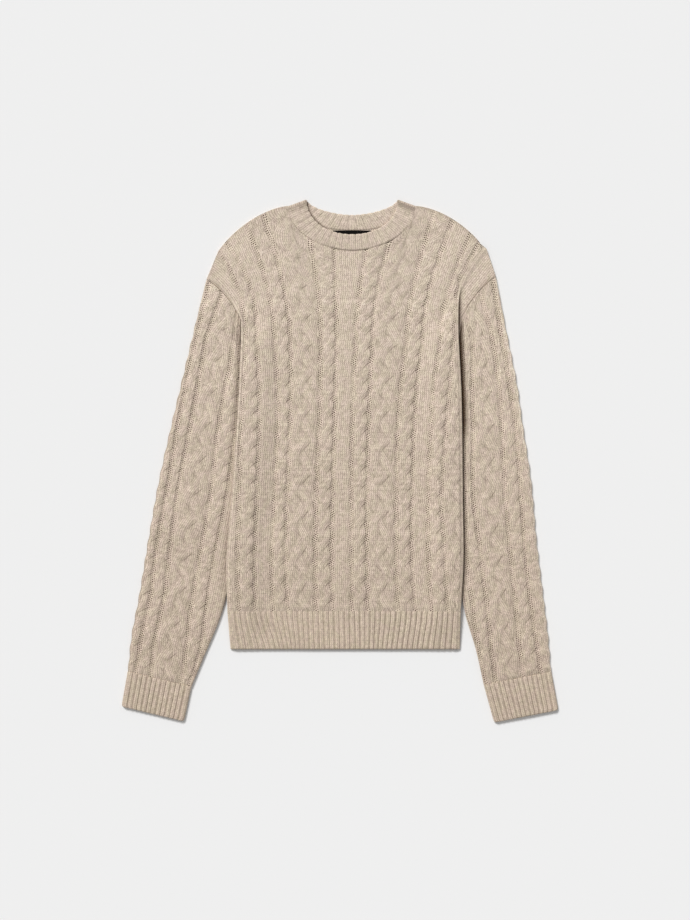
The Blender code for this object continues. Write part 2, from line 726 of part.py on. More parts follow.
def hem_plain_rows(gap, height_of):
    """Coarse rows across the hem rib, at the same places on the front rib and the back one."""
    rows = []
    for y in HEM_ROWS:
        left, right = hem_sides(y)
        insets = [inset + (gap if inset == PLEAT_INSET else 0.0) for inset in HEM_INSETS]
        places = [left + inset for inset in insets] + [right - inset for inset in reversed(insets)]
        rows.append([(x, y, height_of(x, y, left, right)) for x in places])
    return rows


def build_hem_front():
    rows = []
    count = round((BODY_LINES[-1].hem - BODY_LINES[0].hem) / HEM_RIB_PITCH)
    for y, rim in zip(HEM_RIB_ROWS, HEM_RIB_RIMS):
        left, right = hem_sides(y)
        points = list(reversed(hem_nose(-1, left, y, rim)))
        start, end = points[-1][0], right - SIDE_NOSE[0].folded_in
        for number in range(1, count * 2):
            x = mix(start, end, number / (count * 2))
            inside, plain = front_height(x, y, left, right)
            rise = -PURL_DEPTH if number % 2 == 0 else RIB_RISE
            points.append((x, y, mix(inside, plain + rise * (rim > 0.9), rim)))
        rows.append(points + hem_nose(1, right, y, rim))
    inner = hem_plain_rows(0.0, lambda *place: front_height(*place)[0])
    return build_wall("hem_rib_front", rows, inner, knit("hem_knit", RIB_COLOUR))


def hem_nose(side, edge_x, y, rim):
    """Points round the hem rib's turned-under side, from its face to its foot."""
    low = lift(y) + SEAM_GAP / 3
    insets = [nose.folded_in for nose in SIDE_NOSE[:-1]] + [FOOT_INSET]
    ups = [mix(low, lift(y) + FRONT_PLAIN * rim, nose.folded_up / FRONT_PLAIN) for nose in SIDE_NOSE]
    return [(edge_x - side * inset, y, up) for inset, up in zip(insets, ups)]


def build_hem_back():
    outer = hem_plain_rows(SEAM_GAP, lambda *place: base_height(*place) + WALL)
    inner = hem_plain_rows(SEAM_GAP, base_height)
    return build_wall("hem_rib_back", outer, inner, knit("hem_back_knit", RIB_COLOUR))


def on_sleeve(sleeve, height, across):
    """(x, y) of a point on a sleeve, from its height above the cuff seam and its place across."""
    lean = math.radians(sleeve.lean)
    x = sleeve.cuff_x - sleeve.side * (height * math.sin(lean) + across * math.cos(lean))
    return x, sleeve.cuff_y + height * math.cos(lean) - across * math.sin(lean)


def sleeve_place(sleeve, row, boundary):
    """(x, y) at a row, a height and a share, and an edge or purl line, by number, or between two."""
    height, share = row
    heights = [section.height for section in sleeve.sections]
    first = min(int(boundary), len(SEAM_SHARES) - 2)
    part = boundary - first
    start, end = (
        smooth_through(heights, [section[number + 1] for section in sleeve.sections], height)
        for number in (first, first + 1)
    )
    x, y = on_sleeve(sleeve, height, mix(start, end, part))
    if share <= 0.0:
        return x, y
    seam_x, seam_y = armhole_seam(sleeve.shoulder, mix(SEAM_SHARES[first], SEAM_SHARES[first + 1], part))
    return mix(x, seam_x, share), mix(y, seam_y, share)


def sleeve_rows(sleeve, step, upper_count):
    """Rows of a sleeve: heights up to its last section, then shares of the way to the seam."""
    top = sleeve.sections[-1].height
    count = round(top / step)
    rows = [(mix(SEAM_GAP / 2, top, i / count), 0.0) for i in range(count + 1)]
    return rows + [(top, i / upper_count * SEAM_REACH) for i in range(1, upper_count + 1)]


def across_row(outer, inner, insets):
    """Points between a sleeve's edges, each inset counted from the outer one, or back if below 0."""
    length = math.dist(outer, inner)
    shares = [(inset if inset >= 0 else length + inset) / length for inset in insets]
    return [(mix(outer[0], inner[0], share), mix(outer[1], inner[1], share)) for share in shares]


def edge_points(outer, inner):
    """(outer, inner) lists of points round a sleeve's two folded edges, from foot to face."""
    insets = [point.inset for point in SLEEVE_EDGE]
    first = across_row(outer, inner, insets)
    last = across_row(inner, outer, insets)
    ups = [point.up for point in SLEEVE_EDGE]
    return [(*p, up) for p, up in zip(first, ups)], [(*p, up) for p, up in zip(last, ups)]


def sleeve_top_row(sleeve, row):
    """One row of a sleeve's raised upper points, from its outer edge to its inner one."""
    boundaries = [sleeve_place(sleeve, row, number) for number in range(len(SEAM_SHARES))]
    first, last = edge_points(boundaries[0], boundaries[-1])
    points = list(first)
    distance = row[0] + row[1] * SLEEVE_TOP_LENGTH
    for number, (zone, marks) in enumerate(zip(SLEEVE_ZONES, sleeve.marks)):
        width = math.dist(boundaries[number], boundaries[number + 1])
        for part in ((0.0,) if number else ()) + SLEEVE_ZONE_COLUMNS[zone]:
            rise = relief(zone, part, distance, width, marks, sleeve.side > 0) if part > 0.0 else -PURL_DEPTH
            points.append((*sleeve_place(sleeve, row, number + part), SLEEVE_PLAIN + rise))
    return points + list(reversed(last))


def flat_rows(edges, insets, up):
    """Rows of a tube's foot or hollow, level at one height, between pairs of edge places."""
    return [[(*place, up) for place in across_row(outer, inner, insets)] for outer, inner in edges]


def build_sleeve(sleeve):
    top = [sleeve_top_row(sleeve, row) for row in sleeve_rows(sleeve, SLEEVE_ROW_STEP, SLEEVE_TOP_ROWS)]
    rows = sleeve_rows(sleeve, SLEEVE_PLAIN_STEP, SLEEVE_PLAIN_TOP_ROWS)
    places = [[sleeve_place(sleeve, row, number) for number in PLAIN_BOUNDARIES] for row in rows]
    foot = [bent_row(row, SLEEVE_FOOT_INSET, 0.0) for row in places]
    hollow_top = [bent_row(row, HOLLOW_INSET, WALL + HOLLOW) for row in places]
    hollow_foot = [bent_row(row, HOLLOW_INSET, WALL) for row in places]
    material = knit("sleeve_knit", SLEEVE_COLOUR)
    return build_tube(f"sleeve_{sleeve.name}", top, foot, hollow_top, hollow_foot, material)


def bent_row(boundaries, inset, up):
    """A plain row through a sleeve's boundaries, drawn in by inset at both edges."""
    first = across_row(boundaries[0], boundaries[1], [inset])
    last = across_row(boundaries[-1], boundaries[-2], [inset])
    return [(*place, up) for place in first + boundaries[1:-1] + last]


def build_cuff(sleeve):
    top, edges = [], []
    first_section = sleeve.sections[0]
    count = round((first_section.inner - first_section.outer) / CUFF_RIB_PITCH)
    for share, rim in zip(CUFF_ROWS, CUFF_RIMS):
        height = mix(-SEAM_GAP / 2, -sleeve.cuff_length, share)
        outer = on_sleeve(sleeve, height, mix(first_section.outer, sleeve.cuff_outer, share))
        inner = on_sleeve(sleeve, height, mix(first_section.inner, sleeve.cuff_inner, share))
        first, last = edge_points(outer, inner)
        width = math.dist(first[-1][:2], last[-1][:2])
        points = list(first)
        for number in range(1, count * 2):
            across = across_row(first[-1][:2], last[-1][:2], [width * number / (count * 2)])[0]
            rise = -PURL_DEPTH if number % 2 == 0 else RIB_RISE
            points.append((*across, mix(WALL + HOLLOW, SLEEVE_PLAIN + rise * (rim > 0.9), rim)))
        top.append(points + list(reversed(last)))
        edges.append((outer, inner))
    edges = [edges[0], edges[-1]]
    foot = flat_rows(edges, (SLEEVE_FOOT_INSET, -SLEEVE_FOOT_INSET), 0.0)
    hollow_top = flat_rows(edges, (HOLLOW_INSET, -HOLLOW_INSET), WALL + HOLLOW)
    hollow_foot = flat_rows(edges, (HOLLOW_INSET, -HOLLOW_INSET), WALL)
    material = knit("cuff_knit", RIB_COLOUR)
    return build_tube(f"cuff_{sleeve.name}", top, foot, hollow_top, hollow_foot, material)


def neck_knots():
    """Angles at which the panels' inside columns meet the neck seam."""
    knots = []
    for number, line in enumerate(BODY_LINES[:-1]):
        tops = [column_top(number, part) for part in INSIDE_COLUMNS.get(line.name, ())]
        knots += [(top - 1.0) * math.pi for top in tops if 1.0 <= top <= 2.0]
    return knots


def seam_chord(neck_seam, angle):
    """A point on the straight pieces that a panel's neck seam is made of."""
    knots = neck_knots()
    i = max(k for k in range(len(knots) - 1) if knots[k] <= angle)
    share = (angle - knots[i]) / (knots[i + 1] - knots[i])
    start, end = neck_seam(knots[i]), neck_seam(knots[i + 1])
    return mix(start[0], end[0], share), mix(start[1], end[1], share)


def band_edges(angle, front):
    """(seam, top) places of the neckband at an angle, on its front half or its back half."""
    if front:
        top = neck_curve(BAND_TIP_HALF_WIDTH, BAND_TIP_Y, BAND_FRONT_DROP, 2.1, angle)
        return seam_chord(front_neck_seam, angle), top
    top = neck_curve(BAND_TIP_HALF_WIDTH, BAND_TIP_Y, BAND_BACK_DROP, 1.7, angle)
    return seam_chord(back_neck_seam, angle), top


def even_angles(front, count):
    """Angles between the band's tips, evenly spaced along the middle of the band."""
    start, end, steps = math.radians(BAND_START), math.radians(180 - BAND_START), 200
    angles = [mix(start, end, i / steps) for i in range(steps + 1)]
    middles = []
    for angle in angles:
        seam, top = band_edges(angle, front)
        middles.append((mix(seam[0], top[0], 0.5), mix(seam[1], top[1], 0.5)))
    travelled = [0.0]
    for a, b in zip(middles, middles[1:]):
        travelled.append(travelled[-1] + math.dist(a, b))
    found = []
    for number in range(count + 1):
        target = travelled[-1] * number / count
        i = min(max(k for k in range(steps + 1) if travelled[k] <= target), steps - 1)
        share = (target - travelled[i]) / (travelled[i + 1] - travelled[i])
        found.append(mix(angles[i], angles[i + 1], share))
    return found


def band_row(seam, top, outward, seam_up, rib, ribbed_face):
    """Section points of the neckband: outward is its outer face's normal, as (x, y, z)."""
    row = []
    for share, face in BAND_SECTION:
        reach = face * BAND_WALL / 2
        if face == ribbed_face:
            reach += face * rib
        x, y = mix(seam[0], top[0], share), mix(seam[1], top[1], share)
        row.append((x + outward[0] * reach, y + outward[1] * reach, seam_up + outward[2] * reach))
    return row


def tip_rows(side):
    """Rows round one of the neckband's folds, from its front half to its back half."""
    seam, top = band_edges(0.0 if side < 0 else math.pi, True)
    along = math.dist(seam, top)
    out_x, out_y = (seam[1] - top[1]) / along * -side, (top[0] - seam[0]) / along * -side
    radius = (BAND_FRONT_MIDDLE - BAND_BACK_MIDDLE) / 2
    rows = []
    for degrees in (90, 45, 0, -45, -90):
        turn = math.radians(degrees)
        inset = radius * math.cos(turn) - radius - BAND_WALL / 2
        places = [(x + out_x * inset, y + out_y * inset) for x, y in (seam, top)]
        outward = (out_x * math.cos(turn), out_y * math.cos(turn), math.sin(turn))
        up = BAND_BACK_MIDDLE + radius + radius * math.sin(turn)
        rows.append(band_row(*places, outward, up, 0.0, 0))
    return rows


def build_neckband():
    """The neckband: one ring, folded flat at its two tips."""
    halves = []
    for front, ribs in ((True, BAND_FRONT_RIBS), (False, BAND_BACK_RIBS)):
        face, up = (1, BAND_FRONT_MIDDLE) if front else (-1, BAND_BACK_MIDDLE)
        angles = even_angles(front, ribs * 2)
        halves.append([
            band_row(*band_edges(angle, front), (0, 0, face), up, BAND_RIB_RISE * (number % 2), face)
            for number, angle in enumerate(angles)
        ])
    rows = halves[0] + tip_rows(1) + list(reversed(halves[1])) + list(reversed(tip_rows(-1)))
    bm = bmesh.new()
    add_grid(bm, [row + row[:1] for row in rows + rows[:1]])
    bmesh.ops.remove_doubles(bm, verts=bm.verts, dist=0.001 * MM)
    return finish(bm, "neckband", knit("neckband_knit", FRONT_COLOUR))


def build_label():
    """The plain label inside the back of the neck, sewn on just under the neckband."""
    bm = bmesh.new()
    bmesh.ops.create_cube(bm, size=MM)
    bmesh.ops.scale(bm, verts=bm.verts, vec=(LABEL_WIDTH, LABEL_HEIGHT, LABEL_THICKNESS))
    middle_y = NECK_CORNER_Y - BACK_NECK_DROP - LABEL_HEIGHT / 2
    place = NECK_MIDDLE, middle_y, FRONT_INSIDE + LABEL_THICKNESS / 2
    bmesh.ops.translate(bm, verts=bm.verts, vec=in_metres(place))
    return finish(bm, "neck_label", knit("label_weave", LABEL_COLOUR))


def knit(name, colour):
    """A soft, matt material of one colour."""
    if name in bpy.data.materials:
        return bpy.data.materials[name]
    material = bpy.data.materials.new(name)
    material.use_nodes = True
    shader = material.node_tree.nodes["Principled BSDF"]
    shader.inputs["Base Color"].default_value = (*colour, 1.0)
    shader.inputs["Roughness"].default_value = 0.95
    shader.inputs["Metallic"].default_value = 0.0
    material.diffuse_color = (*colour, 1.0)
    return material


def main():
    for obj in list(bpy.data.objects):
        bpy.data.objects.remove(obj)
    bpy.context.scene.collection.children.link(bpy.data.collections.new(COLLECTION))
    build_front()
    build_back()
    build_hem_front()
    build_hem_back()
    for sleeve in SLEEVES:
        build_sleeve(sleeve)
        build_cuff(sleeve)
    build_neckband()
    build_label()


if __name__ == "__main__":
    main()
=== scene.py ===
"""A cable knit sweater laid flat on its back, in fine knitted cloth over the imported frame.

Sizes in the tables are millimetres, as seen from the front: X across the body, Y from the hem to
the neck and Z up from the surface that the sweater lies on.
"""

from __future__ import annotations

import logging
import math
from dataclasses import dataclass
from enum import Enum
from typing import Sequence

import bmesh
import bpy
import numpy as np
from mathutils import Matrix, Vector

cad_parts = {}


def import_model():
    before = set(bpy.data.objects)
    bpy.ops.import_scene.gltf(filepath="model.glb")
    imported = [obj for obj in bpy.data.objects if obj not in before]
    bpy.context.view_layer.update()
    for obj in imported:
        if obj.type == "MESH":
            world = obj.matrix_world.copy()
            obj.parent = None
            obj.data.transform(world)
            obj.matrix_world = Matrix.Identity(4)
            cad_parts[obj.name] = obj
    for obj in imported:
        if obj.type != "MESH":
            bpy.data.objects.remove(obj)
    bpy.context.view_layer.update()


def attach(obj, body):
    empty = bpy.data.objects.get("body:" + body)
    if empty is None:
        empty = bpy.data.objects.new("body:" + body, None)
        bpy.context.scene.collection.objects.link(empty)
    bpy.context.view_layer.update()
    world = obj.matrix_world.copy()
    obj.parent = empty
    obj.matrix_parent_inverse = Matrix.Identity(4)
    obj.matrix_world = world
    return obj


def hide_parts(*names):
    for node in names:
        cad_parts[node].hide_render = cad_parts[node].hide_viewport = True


LOG = logging.getLogger("sweater")
MM = 0.001
Array = np.ndarray
Number = float | Array
Place = tuple[float, float]
Colour = tuple[float, float, float]
TURN = 2.0 * math.pi

# Cloth: its walls and gaps, its stitches and how far each kind of knitting stands out
WALL = 2.4
FRONT_WALL = 2.5
SEAM_GAP = 0.3
HOLLOW = 0.8
OVER_SLEEVE = 6.0
FRONT_INSIDE = WALL + SEAM_GAP
FRONT_PLAIN = FRONT_INSIDE + FRONT_WALL
SLEEVE_PLAIN = WALL + HOLLOW + WALL
WALE = 3.1
COURSE = 2.75
COURSES_PER_CROSSING = 10
PURL_HALF = 2.4
PURL_DEPTH = 0.4
PURL_WALE = 2.7
PURL_COURSE = 3.3
PURL_WAVER = 0.7
PLAIN_RISE = 0.9
ROPE_RISE = 2.2
BRAID_RISE = 2.05
RIB_RISE = 0.85

# Cables: their strands' swing, radius, bed and heights on top, as shares of half the zone's width
# and of its rise, the crossings from one mark to the next and how far past a mark its crossing lies
STRANDS = 4
ROPE_SWING, ROPE_RADIUS, ROPE_BED = 0.43, 0.60, 0.40
ROPE_TOP, ROPE_LEAD, ROPE_HURRY = 0.77, 0.23, 1.5
BRAID_SWING, BRAID_RADIUS, BRAID_BED = 0.58, 0.42, 0.36
BRAID_TOP, BRAID_LEAD = 0.76, 0.24
ROPES_A_MARK, BRAIDS_A_MARK = 5.0, 3.0
ROPE_PAST_MARK, BRAID_PAST_MARK = 0.22, 0.05
COURSES_PER_BRAID_CROSSING = 19.2

# Shades: the painted shade towards the cuffs, where the light falls off, with the levels in metres
# between which it changes; the painted shade in a deep crease and between stitches; and the tints
# of cooler and rosier yarn
NECK_LEVEL, CUFF_LEVEL = 0.25, -0.35
CUFF_PAINTED_SHADE = (0.842, 0.821, 0.804)
CREASE_SHADE = (0.07, 0.03, 0.0)
GAP_SHADE = (0.055, 0.018, 0.0)
COOL_SHADE, ROSY_SHADE = (0.985, 1.004, 0.975), (1.015, 0.996, 1.025)
WHITE = (1.0, 1.0, 1.0)
FLOOR_DARK, FLOOR_LIGHT = (0.845, 0.845, 0.844), (0.847, 0.847, 0.846)
# Yarn: its brightness, the mean painted shade of the gaps between stitches, the painted highlight
# on a crossing's ridge, the painted shade that dims purl cloth, its sheen, and the heights of a
# stitch in millimetres and of fuzz on it
BRIGHTNESS, GAP_BALANCE, RIDGE_LIGHT, PURL_DIM = 1.16, 0.26, 0.12, 0.09
SHEEN, STITCH_HEIGHT, FUZZ_HEIGHT = 0.12, 0.45, 0.35
# Levels between which the painted shadows at the cables' crossings grow weak towards the shoulders
STROKES_FADE_FROM, STROKES_FADE_TO = 0.24, 0.32

# Heights of the body's sections
HEM, HIP, WAIST, BUST, CHEST = -226.2, -149.0, -59.0, 91.0, 181.0
HEM_EDGE = -283.0
UNDERARM = 211.0
SLEEVE_TUCK_START = 174.0
SLEEVE_TUCK_END = -213.0

# Neck
NECK_MIDDLE = 18.0
NECK_HALF_WIDTH = 96.0
NECK_CORNER_Y = 382.0
FRONT_NECK_DROP = 66.0
BACK_NECK_DROP = 36.6


def mix(a: Number, b: Number, share: Number) -> Number:
    """The value a share of the way from a to b."""
    return a + (b - a) * share


def ease(value: Number, start: float, end: float) -> Number:
    """0 before start, 1 after end and smooth between them; start may be the larger."""
    share = np.clip((value - start) / (end - start), 0.0, 1.0)
    return share * share * (3.0 - 2.0 * share)


def smooth_through(knots: Sequence[float], values: Sequence[float], at: Number) -> Array:
    """A smooth curve through values at rising knots.

    Args:
        knots: rising places.
        values: the curve's value at each place.
        at: where it is read, one place or many.

    Returns:
        The curve's values there.
    """
    knots, values, at = np.asarray(knots, float), np.asarray(values, float), np.asarray(at, float)
    last = len(knots) - 1
    at = np.clip(at, knots[0], knots[-1])
    i = np.clip(np.searchsorted(knots, at, side="right") - 1, 0, last - 1)
    low, high = np.maximum(np.arange(last + 1) - 1, 0), np.minimum(np.arange(last + 1) + 1, last)
    slope = (values[high] - values[low]) / (knots[high] - knots[low])
    span = knots[i + 1] - knots[i]
    t = (at - knots[i]) / span
    leaving, arriving, rise = slope[i] * span, slope[i + 1] * span, values[i + 1] - values[i]
    squared, cubed = 3 * rise - 2 * leaving - arriving, leaving + arriving - 2 * rise
    return values[i] + t * (leaving + t * (squared + t * cubed))


def strand_shape(offset: Number, radius: float) -> Number:
    """Height of a round strand at an offset from its middle, 1 at the middle."""
    return np.sqrt(np.clip(1.0 - (offset / radius) ** 2, 0.0, None))


def roll_off(share: Number, start: float, reach: float) -> Number:
    """1 up to a start, then falling off like a round edge, to 0 a reach beyond it."""
    return strand_shape(np.maximum(share - start, 0.0), reach)


def bent(start: Number, bend: Number, end: Number, share: Number) -> Number:
    """A place on a curve from start to end that a place between them bends."""
    return (1 - share) ** 2 * start + 2 * share * (1 - share) * bend + share**2 * end


def lengths(path: Array) -> Array:
    """Lengths travelled along a path of (x, y), from 0 at its start."""
    return np.concatenate([[0.0], np.cumsum(np.hypot(*np.diff(path, axis=0).T))])


def round_corner(half_width: float, height: float, roundness: float, angle: Number) -> tuple:
    """(across, up) on a quarter of a superellipse; angle 0 is its side and 90 degrees its top."""
    across = np.abs(np.cos(angle)) ** (2.0 / roundness) * half_width
    return across, np.abs(np.sin(angle)) ** (2.0 / roundness) * height


class Zone(Enum):
    """What is knitted between two purl lines."""

    ROPE = "rope"
    EDGE_ROPE = "rope folded over an edge"
    BRAID = "braid"
    BRAID_CUT = "braid cut off by the pleat"
    PLAIN = "plain"
    PLAIN_CUT = "plain, cut off by the body's side"
    STRIP = "strip"
    SIDE = "side"

    @property
    def crossing(self) -> float:
        """What crosses in it, as the finish reads it: 0 is nothing, 1 a rope and 2 a braid."""
        if self in (Zone.ROPE, Zone.EDGE_ROPE):
            return 1.0
        return 2.0 if self in (Zone.BRAID, Zone.BRAID_CUT) else 0.0


@dataclass(frozen=True)
class Shoulder:
    """One shoulder's outline: from its top at the neck to its end at the armhole seam."""

    side: int
    end_x: float
    end_y: float
    roundness: float
    seam_bend_x: float
    seam_bend_y: float
    underarm_x: float

    def top(self, share: Number) -> tuple:
        """A point on the outline: share 0 is the armhole seam and 1 the neck corner."""
        corner_x = NECK_MIDDLE + self.side * NECK_HALF_WIDTH
        width, height = abs(self.end_x - corner_x), NECK_CORNER_Y - self.end_y
        across, up = round_corner(width, height, self.roundness, share * np.pi / 2)
        return corner_x + self.side * across, self.end_y + up

    def armhole(self, share: Number) -> tuple:
        """A point on the armhole seam: share 0 is the shoulder's end and 1 the underarm."""
        x = bent(self.end_x, self.seam_bend_x, self.underarm_x, share)
        return x, bent(self.end_y, self.seam_bend_y, UNDERARM, share)

    def edge(self, straight: float, share: float) -> Place:
        """The body's edge above the chest: straight up to the underarm, then along the armhole."""
        if share < straight:
            return self.underarm_x, mix(CHEST, UNDERARM, share / straight)
        return self.armhole(1.0 - (share - straight) / (1.0 - straight))


LEFT_SHOULDER = Shoulder(-1, -200.4, 272.6, 1.58, -168.2, 253.0, -148.7)
RIGHT_SHOULDER = Shoulder(1, 233.5, 277.0, 1.62, 199.3, 253.0, 180.5)


@dataclass(frozen=True)
class Line:
    """A purl line or an edge of the front, and the zone to its right.

    top counts along the top outline: 0 to 1 up the left shoulder, 1 to 2 round the neck seam and
    2 to 3 down the right shoulder. marks are the lengths from the hem at which every fifth
    crossing of the zone's rope lies, or every third of its braid.
    """

    name: str
    zone: Zone
    hem: float
    hip: float
    waist: float
    bust: float
    chest: float
    top: float
    fan: float = 2.0
    marks: tuple[float, ...] = (15.0, 150.0, 282.0, 412.0, 540.0)

    def x(self, y: float) -> float:
        """Where the line runs at a height between the hem and the chest."""
        places = (self.hem, self.hip, self.waist, self.bust, self.chest)
        return float(smooth_through((HEM, HIP, WAIST, BUST, CHEST), places, y))


# Marks of the braids, and of each rope by the purl line on its left
BRAID_MARKS = (35.0, 197.0, 349.0, 490.0)
MARKS = {
    "purl_1": (10, 142, 274, 406, 530),
    "purl_3": (15, 154, 292, 420, 548),
    "purl_5": (11, 156, 296, 424, 537),
    "purl_7": (15, 159, 298, 422, 532),
    "purl_9": (16, 155, 289, 412, 540),
    "purl_11": (16, 148, 278, 399, 530),
}
BODY_LINES = (
    Line("side_left", Zone.PLAIN_CUT, -168.8, -170.3, -162.9, -152.6, -148.7, 0.0),
    Line("purl_1", Zone.ROPE, -151.7, -153.9, -152.1, -147.6, -143.5, 0.306, 3.0, MARKS["purl_1"]),
    Line("purl_2", Zone.PLAIN, -127.7, -127.7, -124.7, -120.9, -124.7, 0.404, 3.0),
    Line("purl_3", Zone.ROPE, -101.4, -103.4, -99.6, -93.9, -99.2, 0.597, 2.0, MARKS["purl_3"]),
    Line("purl_4", Zone.BRAID, -78.9, -81.6, -79.7, -74.1, -75.2, 0.734, 2.0, BRAID_MARKS),
    Line("purl_5", Zone.ROPE, -36.6, -37.7, -35.9, -30.2, -29.1, 1.272, 2.0, MARKS["purl_5"]),
    Line("purl_6", Zone.PLAIN, -11.4, -12.6, -11.4, -7.7, -5.4, 1.403),
    Line("purl_7", Zone.ROPE, 16.7, 16.7, 16.7, 18.6, 23.1, 1.576, 2.0, MARKS["purl_7"]),
    Line("purl_8", Zone.BRAID, 41.1, 40.4, 40.4, 43.7, 48.6, 1.697, 2.0, BRAID_MARKS),
    Line("purl_9", Zone.ROPE, 86.1, 84.2, 84.2, 88.7, 99.2, 2.202, 2.0, MARKS["purl_9"]),
    Line("purl_10", Zone.PLAIN, 112.4, 107.9, 107.9, 113.4, 123.6, 2.361),
    Line("purl_11", Zone.ROPE, 135.9, 131.9, 131.1, 137.9, 149.1, 2.53, 2.0, MARKS["purl_11"]),
    Line("purl_12", Zone.BRAID_CUT, 160.4, 157.4, 151.7, 161.9, 170.1, 2.64, 2.0, BRAID_MARKS),
    Line("side_right", Zone.SIDE, 180.8, 184.8, 183.9, 182.2, 178.0, 2.69),
)

# How much of a zone shows where an edge or a pleat cuts it off
SHOWN = {Zone.EDGE_ROPE: 0.64, Zone.BRAID_CUT: 0.62, Zone.PLAIN_CUT: 0.6}

# Fine columns across each zone
ZONE_COLUMNS = {
    Zone.ROPE: 17,
    Zone.EDGE_ROPE: 9,
    Zone.BRAID: 27,
    Zone.BRAID_CUT: 12,
    Zone.PLAIN: 11,
    Zone.PLAIN_CUT: 8,
    Zone.STRIP: 6,
}

# The body's turned-under side: (in, up) from its face to its foot, folded and open
NOSE_FOLDED = ((3.4, 5.2), (0.9, 4.3), (0.0, 2.5), (1.4, 0.5), (4.8, 0.1))
NOSE_OPEN = ((2.2, 5.2), (0.9, 5.15), (0.2, 4.8), (0.05, 4.0), (0.0, 2.9))
NOSE_WIDTH = NOSE_FOLDED[0][0]
NOSE_COLUMNS = 9
SIDE_INSET = 6.3
PLEAT_INSET = 7.2
FOOT_INSET = 5.7
PLEAT_FLAT_STEP = 1.5
LEAST_COLUMN = 1.5
WEDGE_COLUMNS = 8
PLEAT_TOP = 270.3
PLEAT_WIDTH = 26.0
PLEAT_KNOTS = (0.0, 0.2, 0.45, 0.64, 0.83, 1.0)
PLEAT_X = (178.0, 177.6, 178.9, 184.8, 200.5, 216.6)
PLEAT_Y = (181.0, 211.0, 244.8, 270.3, 296.5, 318.1)
# The strip beside the pleat: its width at both ends and in the middle, and how far up it ends
PLEAT_STRIP, PLEAT_STRIP_MIDDLE, PLEAT_STRIP_UP = 7.5, 4.4, 9.8

# How far in from the body's sides its shelf over the sleeves starts to fall, and ends
SHELF_START, SHELF_END = 30.0, 62.0
# Shares of the way from the chest to the top outline of the last rows, which roll over
TOP_SHARES = (0.986, 0.991, 0.9955, 0.9985, 1.0)
# Heights between which the cables grow flatter towards the shoulders, and what is left of them
FLATTEN_FROM, FLATTEN_TO, FLATTENED = 235.0, 310.0, 0.78


@dataclass(frozen=True)
class Section:
    """A section across a sleeve: its height above the cuff seam and, counted from the sleeve's
    middle towards the body, its outer edge, its four purl lines and its inner edge."""

    height: float
    outer: float
    purl_1: float
    purl_2: float
    purl_3: float
    purl_4: float
    inner: float

    def across(self) -> tuple[float, ...]:
        """The six places across the sleeve."""
        return self.outer, self.purl_1, self.purl_2, self.purl_3, self.purl_4, self.inner


# A sleeve: shares along the armhole seam of its six places across, how near its last row comes to
# that seam, the length from its last section to the seam and what is knitted from its outer edge
SEAM_SHARES = (0.0, 0.08, 0.4, 0.85, 0.94, 1.0)
SEAM_REACH = 0.992
SLEEVE_TOP_LENGTH = 80.0
SLEEVE_ZONES = (Zone.EDGE_ROPE, Zone.ROPE, Zone.BRAID, Zone.ROPE, Zone.STRIP)

# A sleeve's rounded edges: columns, how far they reach in, degrees turned and width of a column
EDGE_COLUMNS = 7
EDGE_INSET = 2.2
EDGE_TURN = 72.0
EDGE_STEP = 1.2

# What a knit keeps for each strand, and what it keeps once for each point
BY_STRAND = ("heights", "stitches")
BY_POINT = ("rise", "cable", "valley", "crossing", "crease", "purl")


@dataclass
class Knit:
    """What the yarn does over a grid of points: rows up the cloth, columns across it.

    Attributes:
        rise: how far it stands out, in millimetres.
        heights: how high each strand lies, to tell which one is on top.
        stitches: (wales, courses) counted along each strand.
        cable: (share across the zone, crossings along it).
        before: the same, as the zone to the left counts them.
        end: the cable values at the zone's right end, for each row.
        valley: (millimetres right of the nearest purl line, millimetres up it).
        zone: the zone's number.
        crossing: what crosses in the zone.
        crease: painted shade in creases, up to 1, and below 0 a painted highlight on an edge.
        purl: how clearly the holes between purl bumps show, from 0 to 1.
    """

    rise: Array
    heights: Array
    stitches: Array
    cable: Array
    before: Array
    end: Array
    valley: Array
    zone: Array
    crossing: Array
    crease: Array
    purl: Array

    @staticmethod
    def join(parts: Sequence[Knit]) -> Knit:
        """Zones beside each other as one grid."""
        befores, zones, count = [], [], 0
        for number, part in enumerate(parts):
            befores.append(part.before.copy())
            if number:
                befores[-1][:, 0] = parts[number - 1].end
            zones.append(part.zone + count)
            count += int(part.zone.max()) + 1
        joined = {
            name: np.concatenate([getattr(part, name) for part in parts], axis=axis)
            for axis, names in ((2, BY_STRAND), (1, BY_POINT))
            for name in names
        }
        before, zone = np.concatenate(befores, axis=1), np.concatenate(zones, axis=1)
        return Knit(**joined, before=before, zone=zone, end=parts[-1].end)

    @staticmethod
    def plain(across: Array, courses: Array) -> Knit:
        """Plain knitting, from millimetres across and courses up the cloth at each point."""
        shape = across.shape
        stitch = np.stack([across / WALE, np.broadcast_to(courses, shape)], axis=-1)
        return Knit(
            rise=np.zeros(shape),
            heights=np.zeros((STRANDS, *shape)),
            stitches=np.repeat(stitch[None], STRANDS, axis=0),
            cable=np.zeros((*shape, 2)),
            before=np.zeros((*shape, 2)),
            end=np.zeros((shape[0], 2)),
            valley=np.zeros((*shape, 2)),
            zone=np.zeros(shape, int),
            crossing=np.zeros(shape),
            crease=np.zeros(shape),
            purl=np.zeros(shape),
        )

    def darken(self, shade: Array) -> None:
        """Makes its painted shade at least as dark as a given one."""
        self.crease = np.maximum(self.crease, shade)


